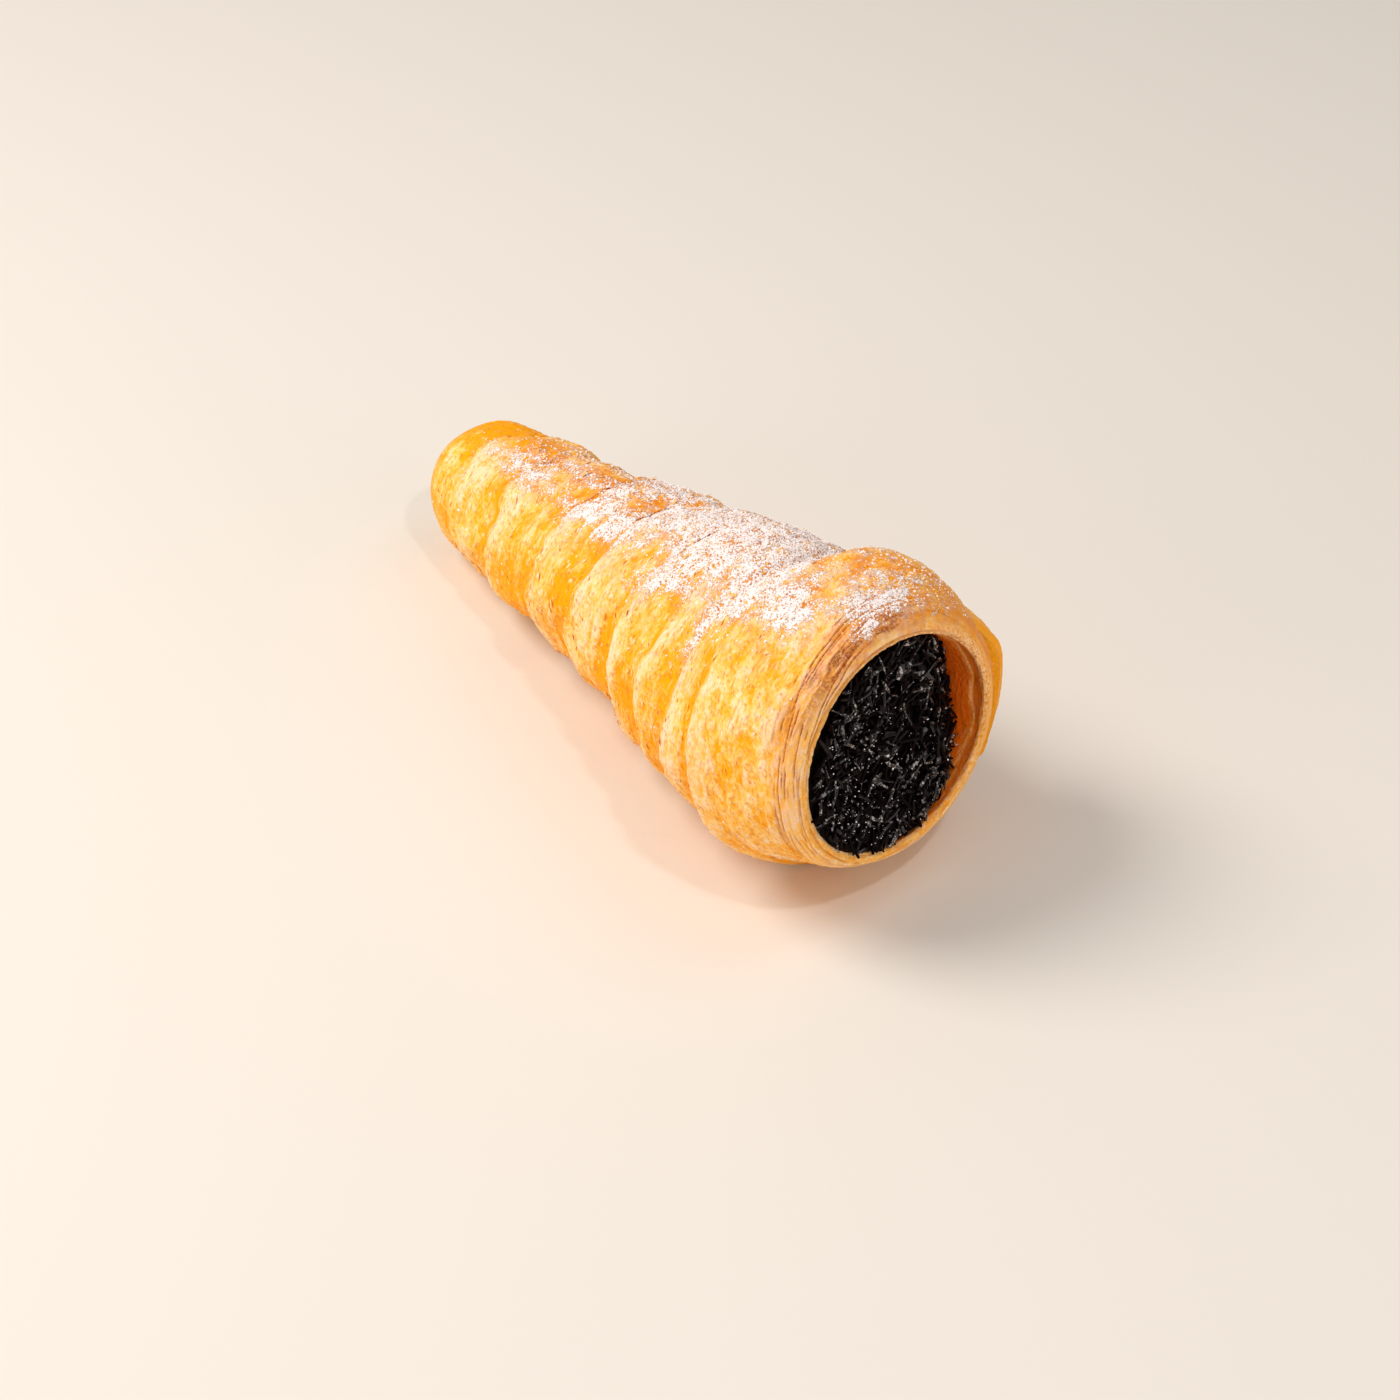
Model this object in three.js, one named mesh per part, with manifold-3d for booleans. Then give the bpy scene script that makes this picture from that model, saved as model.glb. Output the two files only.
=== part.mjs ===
// A cream horn lying on its side: a strip of puff pastry wound in overlapping
// turns round a cone, closed to a rounded tip, and filled to its mouth with
// chocolate cream that is covered in chocolate strands.
//
// Units are millimetres, +Z is up, the mouth looks towards +X, the horn rests
// on Z = 0 and the origin is the middle of its footprint's box.

import * as THREE from 'three';
import Module from 'manifold-3d';
import { mergeVertices } from 'three/addons/utils/BufferGeometryUtils.js';

const wasm = await Module();
wasm.setup();

// ---- Driving dimensions ----------------------------------------------------

const hornLength = 144;          // tip to lip, along the axis
const coneRadius = 13.4;         // of the crests, continued to the tip
const coneTaper = 8.6;           // growth of the radius over the whole length
const coneFlare = 11.9;          // further growth, with the square of the place
const capLength = 15.5;          // the rounded tip
const capBluntness = 2.55;       // exponent of its section, 2 is an ellipse
const rimStart = 123.5;          // where the outside starts to round to the lip
const rimBluntness = 1.8;        // exponent of its section
const mouthRadius = 20.3;        // of the bore at the lip
const lipRounding = 0.9;
const rimPress = 0.6;            // share of the rim that is thinned below
const rimPressSide = 255;        // degrees, the middle of that thinner part
const boreEndRadius = 4;         // the bore's blind end
const boreEndAt = 16;            // its distance from the tip

// Where the seams between the turns cross the horn's front, from the tip.
const turnSeams = [15, 32, 52.5, 69, 87, 99, 110.5, 121, 131.5, 142];
const seamFace = 150;            // degrees round the axis of that front
const stepHeight = 1.6;          // a turn's edge above the turn that it covers
const stepWidth = 0.3;           // of that edge, as a share of the turn
const lastTurn = 7;              // the seam where the outermost layer begins
const stripEndAt = 324;          // degrees, the strip's cut end
const stripEndHeight = 4.6;      // the outermost layer's thickness at that end
const stripFade = [38, 68];      // degrees from the end over which it thins out
const stripEdge = 138;           // the outermost layer's edge, short of the lip
const waist = 4.0;               // dip on the far side before the last turn
const waistAt = 115;
const waistSide = 65;            // degrees
const waistSpread = 9;

const mouthYaw = 5.6;            // the mouth's near side stands this far forward
const turnLean = 2.0;            // the tops of the turns lean this far forward
const wedgeLean = 4.5;           // further lean of the turns behind the mouth
const wedgeTurn = 6.5;           // and its return in the broadest turn
const leanFrom = [5, 60];        // stretches of the axis over which these come
const wedgeFrom = [60, 88];
const wedgeBack = [107, 124];
const wedgeEnd = [124, 136];
const restFlat = 0.9;            // pressed flat under the horn

// Dents and bulges of hand-wound dough: their size, how many go round the
// horn, how fast they drift along it and where they start, in radians.
const bulges = [
  { size: 0.35, round: 3, drift: 0.09, start: 0 },
  { size: 0.25, round: 5, drift: -0.13, start: 1 },
  { size: 0.2, round: 8, drift: 0.21, start: 2 },
];

const fillingGap = 0.3;          // between the filling and the bore
const recessMiddle = 2.6;        // depth behind the lip of the filling's face
const recessLeast = 0.6;         // round most of its edge
const recessMost = 9;            // and where it has sunk away from the lip
const recessSide = 8;            // degrees, the direction of that side
const recessSharpness = 2.9;     // the higher, the narrower that side
const strandCount = 72;
const strandReach = 0.86;        // of the face's radius, for their middles
const strandLength = [3.8, 5.6];
const strandRise = [0.1, 0.5];   // of their middles over the face
const strandWidth = 0.95;
const strandSeed = 11;
const goldenAngle = 137.508;     // degrees between one strand and the next

const columns = 60;              // facets round the horn
const turnRows = [0, 0.08, 0.18, 0.3, 0.5, 0.75, 0.92];  // rows across a turn
const capSteps = 5;              // rows round the tip
const rimSteps = 4;              // rows round the rim
const boreRows = [hornLength - lipRounding, 140, 130, 105, 60, boreEndAt];
const faceRows = [1, 0.88, 0.66, 0.36, 0];  // shares of the face's radius

const colours = { pastry: 0xe9ac52, filling: 0x1c0f0a };

// ---- Small helpers ---------------------------------------------------------

const radians = THREE.MathUtils.degToRad;
const clamp = THREE.MathUtils.clamp;
const smooth = THREE.MathUtils.smoothstep;
const lerp = THREE.MathUtils.lerp;
const wave = (angle, turns, phase) => Math.sin(radians(angle) * turns + phase);

// Seeded draws between 0 and 1.
function seededDraws(seed) {
  let state = seed;
  return () => {
    state = (state * 16807) % 2147483647;
    return state / 2147483647;
  };
}

// Collects vertices by place, and triangles without the collapsed ones.
class Skin {
  constructor() {
    this.places = new Map();
    this.points = [];
    this.triangles = [];
  }

  vertex(point) {
    const key = point.toArray().map((value) => value.toFixed(4)).join();
    if (!this.places.has(key)) {
      this.places.set(key, this.points.length / 3);
      this.points.push(...point.toArray());
    }
    return this.places.get(key);
  }

  triangle(a, b, c) {
    if (a !== b && b !== c && c !== a) this.triangles.push(a, b, c);
  }

  // Joins two rows of points, each a function of the column.
  band(rowA, rowB) {
    for (let column = 0; column < columns; column += 1) {
      const a = this.vertex(rowA(column));
      const b = this.vertex(rowA(column + 1));
      const c = this.vertex(rowB(column + 1));
      const d = this.vertex(rowB(column));
      this.triangle(a, b, c);
      this.triangle(a, c, d);
    }
  }

  // Joins a list of rows, one after the other.
  bands(rows) {
    for (let i = 1; i < rows.length; i += 1) this.band(rows[i - 1], rows[i]);
  }

  geometry() {
    const result = new THREE.BufferGeometry();
    result.setAttribute('position', new THREE.Float32BufferAttribute(this.points, 3));
    result.setIndex(this.triangles);
    return result;
  }
}

// ---- The wound strip -------------------------------------------------------

// How many turns lie between the first seam and a place on the axis.
function turnsAt(along) {
  const passed = turnSeams.filter((seam) => seam <= along).length - 1;
  const i = clamp(passed, 0, turnSeams.length - 2);
  return i + (along - turnSeams[i]) / (turnSeams[i + 1] - turnSeams[i]);
}

// The place on the axis that lies a given number of turns from the first seam.
function alongAt(turns) {
  const i = clamp(Math.floor(turns), 0, turnSeams.length - 2);
  return turnSeams[i] + (turns - i) * (turnSeams[i + 1] - turnSeams[i]);
}

// A hump between 0 and 1 round a place, and one round an angle.
const hump = (value, middle, spread) => Math.exp(-(((value - middle) / spread) ** 2));
const humpRound = (angle, middle, sharpness) =>
  Math.exp(sharpness * (Math.cos(radians(angle - middle)) - 1));

// The outside that the crests of the turns reach.
function crestRadius(along, angle) {
  const share = along / hornLength;
  const rimShare = rimStart / hornLength;
  const cone = (place) => coneRadius + coneTaper * place + coneFlare * place ** 2;
  let radius = cone(Math.min(share, rimShare));
  radius -= waist * hump(along, waistAt, waistSpread) * humpRound(angle, waistSide, 2);
  if (along < capLength) {
    const left = 1 - along / capLength;
    radius *= (1 - left ** capBluntness) ** (1 / capBluntness);
  }
  if (along > rimStart) {
    const across = (along - rimStart) / (hornLength - rimStart);
    const press = rimPress * smooth(across, 0, 0.7) * humpRound(angle, rimPressSide, 3);
    const fall = Math.max(0, 1 - across ** rimBluntness) ** (1 / rimBluntness);
    const lip = mouthRadius + lipRounding;
    radius = lip + (radius - lip) * fall * (1 - press);
  }
  return radius;
}

// Depth below the crest: a sloping edge on the tip side of each turn, a rounded
// back, and a hollow where the turn slips under the next.
function turnHollow(along, angle) {
  const turns = turnsAt(along) + (angle - seamFace) / 360;
  const across = turns - Math.floor(turns);
  const wound = Math.floor(turns) - (angle - seamFace) / 360;
  const edge = Math.cos(Math.min(across / stepWidth, 1) * Math.PI) * 0.5 + 0.5;
  const back = clamp((across - 0.3) / 0.7, 0, 1) ** 2;
  const uneven = 1 + 0.25 * Math.sin(wound * 8.6) + 0.2 * Math.sin(wound * 19.5 + 1);
  const fade = smooth(along, 4, capLength + 5) * (1 - smooth(along, 124, 134));
  return stepHeight * uneven * fade * Math.max(edge, back);
}

// The outermost layer, as a share of its thickness at the strip's cut end.
function lastLayer(along, angle) {
  const behind = (((angle - stripEndAt) % 360) + 360) % 360;
  const thickness = behind < 1 ? 0 : 1 - smooth(behind, ...stripFade);
  const turns = turnsAt(along) + (stripEndAt - 360 + behind - seamFace) / 360;
  return thickness * smooth(turns, lastTurn, lastTurn + 0.1);
}

function unevenness(along, angle) {
  const fade = smooth(along, 2, capLength) * (1 - smooth(along, 136, hornLength));
  return bulges.reduce((sum, { size, round, drift, start }) =>
    sum + fade * size * wave(angle, round, start + along * drift), 0);
}

// ---- Placing a point of the horn -------------------------------------------

// The axis rises so that the tip's end and the broadest turn rest alike.
const below = 270;
const widest = crestRadius(rimStart, below);
const tipEnd = crestRadius(capLength, below);
const slope = Math.atan((widest - tipEnd) / (rimStart - capLength));
const axisHeight = tipEnd * Math.cos(slope) - capLength * Math.sin(slope) - restFlat;

// How far the top of a turn leans over towards the mouth.
function leanAt(along) {
  const wedge = wedgeLean * smooth(along, ...wedgeFrom) - wedgeTurn * smooth(along, ...wedgeBack)
    + (wedgeTurn - wedgeLean) * smooth(along, ...wedgeEnd);
  return turnLean * smooth(along, ...leanFrom) + wedge;
}

// From the place along the axis, the radius and the angle, where 0 degrees is
// +Y and 90 degrees is up.
function place(along, radius, angle) {
  const turn = radians(angle);
  const reach = radius / widest;
  const yaw = mouthYaw * (along / hornLength) ** 4;
  const sway = 0.5 * (wave(angle, 2, along * 0.07) + wave(angle, 5, -along * 0.11));
  const steady = 1 - smooth(along, 120, 138);
  const x = along
    + reach * (leanAt(along) * Math.sin(turn) - yaw * Math.cos(turn) + sway * steady);
  const up = radius * Math.sin(turn);
  return new THREE.Vector3(
    x * Math.cos(slope) - up * Math.sin(slope),
    radius * Math.cos(turn),
    Math.max(0, x * Math.sin(slope) + up * Math.cos(slope) + axisHeight));
}

const columnAngle = (column) => (column % columns) * (360 / columns);

// ---- Pastry shell ----------------------------------------------------------

// The outermost layer bridges the hollows that it covers.
function outsidePoint(along, column) {
  const angle = columnAngle(column);
  const cover = lastLayer(along, angle);
  const wound = stripEndHeight * cover - turnHollow(along, angle) * (1 - cover);
  return place(along, crestRadius(along, angle) + wound + unevenness(along, angle), angle);
}

// A row that follows the winding, held between the cap and the last edge.
function woundRow(turns) {
  return (column) => {
    const wound = turns - (column * (360 / columns) - seamFace) / 360;
    let along = Number(alongAt(wound).toFixed(6));
    if (along < capLength + 0.5) along = capLength;
    if (along > stripEdge - 0.5) along = stripEdge;
    return outsidePoint(along, column);
  };
}

function capRows() {
  return Array.from({ length: capSteps + 1 }, (_, i) => {
    const along = capLength * (1 - Math.cos((i / capSteps) * Math.PI * 0.5));
    return (column) => outsidePoint(along, column);
  });
}

function windingRows() {
  const rows = [];
  const from = Math.floor(turnsAt(capLength)) - 1;
  const to = Math.ceil(turnsAt(stripEdge)) + 1;
  for (let turn = from; turn <= to; turn += 1) {
    rows.push(...turnRows.map((share) => woundRow(turn + share)));
  }
  return rows;
}

// From the foot of the last edge round the lip and down the bore.
function rimRows() {
  const from = Math.asin((stripEdge - rimStart) / (hornLength - rimStart));
  const rows = Array.from({ length: rimSteps }, (_, i) => {
    const across = Math.sin(from + (i / rimSteps) * (Math.PI * 0.5 - from));
    const along = rimStart + across * (hornLength - rimStart);
    return (column) => {
      const angle = columnAngle(column);
      return place(along, crestRadius(along, angle) + unevenness(along, angle), angle);
    };
  });
  rows.push((column) => place(hornLength, mouthRadius + lipRounding, columnAngle(column)));
  return rows;
}

function boreRadius(along) {
  const share = (along - boreEndAt) / (hornLength - boreEndAt);
  return boreEndRadius + (mouthRadius - boreEndRadius) * share;
}

const boreRow = (along, gap) => (column) =>
  place(along, boreRadius(along) - gap, columnAngle(column));

function pastryShell() {
  const skin = new Skin();
  const boreEnd = () => place(boreEndAt, 0, 0);
  skin.bands([...capRows(), ...windingRows(), ...rimRows(),
    ...boreRows.map((along) => boreRow(along, 0)), boreEnd]);
  return skin.geometry();
}

// ---- Chocolate filling -----------------------------------------------------

// The face behind the lip, as a share of the bore's radius and an angle.
function facePoint(share, angle) {
  const sunk = humpRound(angle, recessSide, recessSharpness);
  const edge = lerp(recessLeast, recessMost, sunk);
  const along = hornLength - lerp(recessMiddle, edge, share ** 2);
  return place(along, share * (boreRadius(along) - fillingGap), angle);
}

function fillingBody() {
  const skin = new Skin();
  const face = faceRows.map((share) => (column) => facePoint(share, columnAngle(column)));
  const sides = boreRows.filter((along) => along < hornLength - recessMost);
  const wall = sides.map((along) => boreRow(along, fillingGap)).reverse();
  const blindEnd = boreEndAt + fillingGap * 3;
  wall[0] = boreRow(blindEnd, fillingGap);
  skin.bands([() => place(blindEnd, 0, 0), ...wall, ...face]);
  return skin.geometry();
}

// One strand: a short square bar in the plane of the face.
function strand(centre, heading, roll, length) {
  const bar = new THREE.BoxGeometry(length, strandWidth, strandWidth);
  bar.rotateX(roll);
  bar.rotateY(Math.PI * 0.5);
  bar.rotateX(heading);
  bar.translate(centre.x, centre.y, centre.z);
  return bar;
}

function solidOf(geometry) {
  const bare = geometry.clone();
  bare.deleteAttribute('normal');
  bare.deleteAttribute('uv');
  const merged = mergeVertices(bare, 1e-4);
  return new wasm.Manifold(new wasm.Mesh({
    numProp: 3,
    vertProperties: new Float32Array(merged.getAttribute('position').array),
    triVerts: new Uint32Array(merged.getIndex().array),
  }));
}

function geometryOf(solid) {
  const mesh = solid.getMesh();
  const result = new THREE.BufferGeometry();
  result.setAttribute('position', new THREE.BufferAttribute(mesh.vertProperties, 3));
  result.setIndex(new THREE.BufferAttribute(mesh.triVerts, 1));
  return result;
}

// Strands spread evenly over the face in a sunflower pattern, each with its
// own heading, so that no part of the face is left bare.
function chocolateFilling() {
  const draw = seededDraws(strandSeed);
  let solid = solidOf(fillingBody());
  for (let i = 0; i < strandCount; i += 1) {
    const share = strandReach * Math.sqrt((i + 0.5) / strandCount);
    const centre = facePoint(share, i * goldenAngle);
    const length = lerp(...strandLength, draw());
    centre.x += lerp(...strandRise, draw());
    solid = solid.add(solidOf(strand(centre, draw() * Math.PI, draw() * Math.PI, length)));
  }
  return geometryOf(solid);
}

// ---- Assembly --------------------------------------------------------------

function piece(name, geometry, color, roughness) {
  geometry.computeVertexNormals();
  const mesh = new THREE.Mesh(
    geometry, new THREE.MeshStandardMaterial({ color, roughness, metalness: 0 }));
  mesh.name = name;
  return mesh;
}

const creamHorn = new THREE.Group();
creamHorn.add(piece('pastry_shell', pastryShell(), colours.pastry, 0.75));
creamHorn.add(piece('chocolate_filling', chocolateFilling(), colours.filling, 0.5));

const middle = new THREE.Box3().setFromObject(creamHorn).getCenter(new THREE.Vector3());
creamHorn.position.set(-middle.x, -middle.y, 0);

export default creamHorn;
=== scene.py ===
# A cream horn lying on its side: flaky puff pastry wound round a cone, dusted
# with powdered sugar, and a filling covered in chocolate strands.
#
# The horn's form is a formula of the place along its axis, counted from the
# tip, and the angle round it, where 0 degrees is +Y and 90 degrees is up.
# Form functions work in millimetres and degrees, and the meshes in metres.

import math

import bmesh
import bpy
import numpy as np
from bpy.props import (FloatProperty, FloatVectorProperty, IntProperty,
                       PointerProperty)
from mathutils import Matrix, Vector


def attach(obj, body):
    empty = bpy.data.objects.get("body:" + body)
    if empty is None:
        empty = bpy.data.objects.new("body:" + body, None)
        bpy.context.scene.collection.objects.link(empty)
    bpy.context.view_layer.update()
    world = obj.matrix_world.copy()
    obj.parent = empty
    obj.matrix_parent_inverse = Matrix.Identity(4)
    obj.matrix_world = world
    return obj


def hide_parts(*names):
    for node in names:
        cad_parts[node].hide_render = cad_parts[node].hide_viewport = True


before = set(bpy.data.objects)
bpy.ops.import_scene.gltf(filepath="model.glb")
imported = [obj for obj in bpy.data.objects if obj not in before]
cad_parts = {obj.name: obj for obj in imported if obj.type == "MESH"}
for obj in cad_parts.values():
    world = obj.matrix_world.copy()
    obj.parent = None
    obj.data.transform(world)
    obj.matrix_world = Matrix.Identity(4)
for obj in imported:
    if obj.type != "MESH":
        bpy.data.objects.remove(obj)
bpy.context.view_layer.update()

bl_info = {
    "name": "Cream Horn",
    "version": (1, 0, 0),
    "blender": (4, 5, 0),
    "location": "3D View > Sidebar > Cream Horn",
    "description": "Builds a flaky, sugar-dusted cream horn with a filling of chocolate strands",
    "category": "Object",
}

MM = 0.001

# ---- The horn's form, as the solids have it --------------------------------

HORN_LENGTH = 144.0
CONE_RADIUS, CONE_TAPER, CONE_FLARE = 13.4, 8.6, 11.9
CAP_LENGTH, CAP_BLUNTNESS = 15.5, 2.55
RIM_START, RIM_BLUNTNESS = 123.5, 1.8
MOUTH_RADIUS, LIP_ROUNDING = 20.3, 0.9
RIM_PRESS, RIM_PRESS_SIDE = 0.6, 255
BORE_END_RADIUS, BORE_END_AT = 4.0, 16.0
TURN_SEAMS = (15, 32, 52.5, 69, 87, 99, 110.5, 121, 131.5, 142)
SEAM_FACE = 150
STEP_HEIGHT, STEP_WIDTH = 1.6, 0.3
WAIST, WAIST_AT, WAIST_SIDE, WAIST_SPREAD = 4.0, 115, 65, 9
MOUTH_YAW, TURN_LEAN, WEDGE_LEAN, WEDGE_TURN = 5.6, 2.0, 4.5, 6.5
REST_FLAT = 0.9
STRIP_END_AT, STRIP_END_HEIGHT, STRIP_EDGE = 324, 5.0, 138
STRIP_FADE = (38, 64)            # degrees from the strip's end over which it thins out
LAST_TURN = 7
TO_RIM = (123, 127.5)            # where the wound crust's relief gives way to the rim's
FILLING_GAP = 0.3
RECESS_MIDDLE, RECESS_LEAST, RECESS_MOST = 2.6, 0.6, 9.0
RECESS_SIDE, RECESS_SHARPNESS = 8, 2.9
MIDDLE = (73.382, 1.689)         # of the footprint's box, from the tip
FIRST_ANGLE = STRIP_END_AT - 360  # where every skin's columns begin and end

# The seams, carried on at both ends, and the number of turns at each.
SEAM_PLACES = np.array((-19, -2) + TURN_SEAMS + (152.5, 163), float)
SEAM_TURNS = np.arange(-2, len(TURN_SEAMS) + 2, dtype=float)


def smooth(value, low, high):
    share = np.clip((value - low) / (high - low), 0, 1)
    return share * share * (3 - 2 * share)


def band(value, start, full, last, end):
    """Rises from 0 to 1, and falls to 0 again further on."""
    return smooth(value, start, full) * (1 - smooth(value, last, end))


def mix(a, b, share):
    return a + (b - a) * share


def cosine(angle):
    return np.cos(np.radians(angle))


def sine(angle):
    return np.sin(np.radians(angle))


def wave(angle, turns, phase):
    return np.sin(np.radians(angle) * turns + phase)


def hump(value, middle, spread):
    return np.exp(-((value - middle) / spread) ** 2)


def hump_round(angle, middle, sharpness):
    return np.exp(sharpness * (cosine(angle - middle) - 1))


def turns_at(along):
    return np.interp(along, SEAM_PLACES, SEAM_TURNS)


def along_at(turns):
    return np.interp(turns, SEAM_TURNS, SEAM_PLACES)


def cone(share):
    return CONE_RADIUS + CONE_TAPER * share + CONE_FLARE * share ** 2


def crest_radius(along, angle):
    """The outside that the crests of the turns reach."""
    radius = cone(np.minimum(along, RIM_START) / HORN_LENGTH)
    radius = radius - (WAIST * hump(along, WAIST_AT, WAIST_SPREAD)
                       * hump_round(angle, WAIST_SIDE, 2))
    left = np.clip(1 - along / CAP_LENGTH, 0, 1)
    radius = radius * (1 - left ** CAP_BLUNTNESS) ** (1 / CAP_BLUNTNESS)
    across = np.clip((along - RIM_START) / (HORN_LENGTH - RIM_START), 0, 1)
    press = RIM_PRESS * smooth(across, 0, 0.7) * hump_round(angle, RIM_PRESS_SIDE, 3)
    fall = (1 - across ** RIM_BLUNTNESS) ** (1 / RIM_BLUNTNESS)
    lip = MOUTH_RADIUS + LIP_ROUNDING
    return np.where(along > RIM_START, lip + (radius - lip) * fall * (1 - press), radius)


def ragged_along(along, angle):
    """The place along the axis as the strip sees it, whose torn edges wander."""
    wound = (angle - SEAM_FACE) / 360
    turns = turns_at(along) + wound
    seam = np.round(turns)
    edge = strip_length(seam - wound)
    wander = (0.075 * noise(edge / 9, 3 * seam, 90) + 0.05 * noise(edge / 3.2, 3 * seam, 91)
              + 0.02 * noise(edge / 1.1, 3 * seam, 92))
    wander = wander * np.cos((turns - seam) * math.pi) ** 2 * smooth(along, 8, 20)
    return along_at(turns - wound + wander)


def unragged(along, angle):
    """The place along the axis that the strip sees as the one given."""
    seen = along
    for _ in range(14):
        seen = along + seen - ragged_along(seen, angle)
    return seen


def strip_place(along, angle):
    """Turn number, share across the turn, place along the strip in turns, and
    distance in mm from the turn's edge."""
    along = ragged_along(along, angle)
    turns = np.round(turns_at(along) + (angle - SEAM_FACE) / 360, 6)
    turn = np.floor(turns)
    wound = turn - (angle - SEAM_FACE) / 360
    return turn, turns - turn, wound, np.maximum(along - along_at(wound), 0)


def turn_hollow(along, angle):
    """Depth below the crest, from 0 to the height of a turn's edge."""
    _, across, wound, _ = strip_place(along, angle)
    edge = np.cos(np.minimum(across / STEP_WIDTH, 1) * math.pi) * 0.5 + 0.5
    back = np.clip((across - STEP_WIDTH) / (1 - STEP_WIDTH), 0, 1) ** 2
    nearest = wound + (across >= STEP_WIDTH)
    uneven = 1 + 0.25 * np.sin(nearest * 8.6) + 0.2 * np.sin(nearest * 19.5 + 1)
    fade = band(along, 4, CAP_LENGTH + 5, 124, 134) * mix(0.5, 1, smooth(along, 25, 55))
    return STEP_HEIGHT * uneven * fade * np.maximum(edge, back)


def unevenness(along, angle):
    """Dents and bulges of hand-wound dough."""
    fade = band(along, 2, CAP_LENGTH, 136, HORN_LENGTH)
    return fade * (0.35 * wave(angle, 3, along * 0.09) + 0.25 * wave(angle, 5, 1 - along * 0.13)
                   + 0.2 * wave(angle, 8, 2 + along * 0.21))


def wound_radius(along, angle):
    return crest_radius(along, angle) - turn_hollow(along, angle) + unevenness(along, angle)


WIDEST = float(crest_radius(RIM_START, 270))
TIP_END = float(crest_radius(CAP_LENGTH, 270))
SLOPE = math.atan((WIDEST - TIP_END) / (RIM_START - CAP_LENGTH))
AXIS_HEIGHT = TIP_END * math.cos(SLOPE) - CAP_LENGTH * math.sin(SLOPE) - REST_FLAT


def place(along, radius, angle):
    """A point of the horn, in mm, in the part's frame."""
    lean = (TURN_LEAN * smooth(along, 5, 60) + WEDGE_LEAN * smooth(along, 60, 88)
            - WEDGE_TURN * smooth(along, 107, 124)
            + (WEDGE_TURN - WEDGE_LEAN) * smooth(along, 124, 136))
    yaw = MOUTH_YAW * (along / HORN_LENGTH) ** 4
    sway = 0.5 * (wave(angle, 2, along * 0.07) + wave(angle, 5, -along * 0.11))
    steady = 1 - smooth(along, 120, 138)
    x = along + radius / WIDEST * (lean * sine(angle) - yaw * cosine(angle) + sway * steady)
    up = radius * sine(angle)
    height = x * math.sin(SLOPE) + up * math.cos(SLOPE) + AXIS_HEIGHT
    return np.stack(np.broadcast_arrays(
        x * math.cos(SLOPE) - up * math.sin(SLOPE) - MIDDLE[0],
        radius * cosine(angle) - MIDDLE[1],
        np.maximum(height, 0)), axis=-1)


def bore_radius(along):
    share = (along - BORE_END_AT) / (HORN_LENGTH - BORE_END_AT)
    return BORE_END_RADIUS + (MOUTH_RADIUS - BORE_END_RADIUS) * share


LIP_OFFSET, LIP_SIDE = 0.95, -15  # the lip's dough is thinner towards this side
THIN_SIDE, LYING_SIDE = 5, 262   # where the lip is thinnest, and where the horn lies on it


def mouth_wall(along, angle):
    """The bore's radius, where the dough is thicker on one side of the lip."""
    thin = (0.25 - LIP_OFFSET * cosine(angle - LIP_SIDE)
            + 0.7 * hump_round(angle, LYING_SIDE, 4) - 1.2 * hump_round(angle, THIN_SIDE, 3))
    return bore_radius(along) - thin * smooth(along, 135, 142.5)


def lip_outside(along, angle):
    """How far the outside follows the lip on its thinner side, and is worn down
    where the horn lies on the lip."""
    side = 0.8 * np.maximum(cosine(angle - LIP_SIDE), 0) + 0.6 * hump_round(angle, THIN_SIDE, 3)
    worn = 0.6 * hump_round(angle, LYING_SIDE, 6)
    return side * smooth(along, 137, 143.5) - worn * smooth(along, 130, 143)


# ---- Repeatable noise ------------------------------------------------------

def corner_value(column, row, seed):
    """Values between -1 and 1 on the corners of a grid."""
    mixed = (column.astype(np.int64) * 73856093) ^ (row.astype(np.int64) * 19349663)
    mixed = (mixed ^ (seed * 83492791)) & 0x7FFFFFFF
    mixed = ((mixed ^ (mixed >> 13)) * 1274126177) & 0x7FFFFFFF
    mixed = mixed ^ (mixed >> 15)
    return (mixed & 0xFFFF) / 32767.5 - 1


def noise(x, y, seed, period=None):
    """Smooth noise between -1 and 1. With a period it repeats along x."""
    x, y = np.broadcast_arrays(x, y)
    column, row = np.floor(x), np.floor(y)
    share_x, share_y = x - column, y - row
    share_x = share_x ** 3 * (share_x * (share_x * 6 - 15) + 10)
    share_y = share_y ** 3 * (share_y * (share_y * 6 - 15) + 10)
    after = column + 1
    if period:
        column, after = column % period, after % period
    low = mix(corner_value(column, row, seed), corner_value(after, row, seed), share_x)
    high = mix(corner_value(column, row + 1, seed), corner_value(after, row + 1, seed), share_x)
    return mix(low, high, share_y)


class Lay:
    """Noise on the strip: lengths run along it and widths across, in mm.
    With a circumference the pattern closes on itself round the horn."""

    def __init__(self, along, across, seed, circumference=None):
        self.along, self.across, self.seed = along, across, seed
        self.circumference = circumference

    def noise(self, length, width, number):
        seed = self.seed * 31 + number
        if self.circumference is None:
            return noise(self.along / length, self.across / width, seed)
        cells = max(1, round(self.circumference / length))
        x = self.along / self.circumference * cells
        return noise(x, self.across / width, seed, cells)


# ---- The flaky relief ------------------------------------------------------

def round_grain(radius, angle, along):
    """Grain coordinates of dough whose fibres run round the horn."""
    return np.stack(np.broadcast_arrays(radius * cosine(angle), radius * sine(angle), along), -1)


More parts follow.
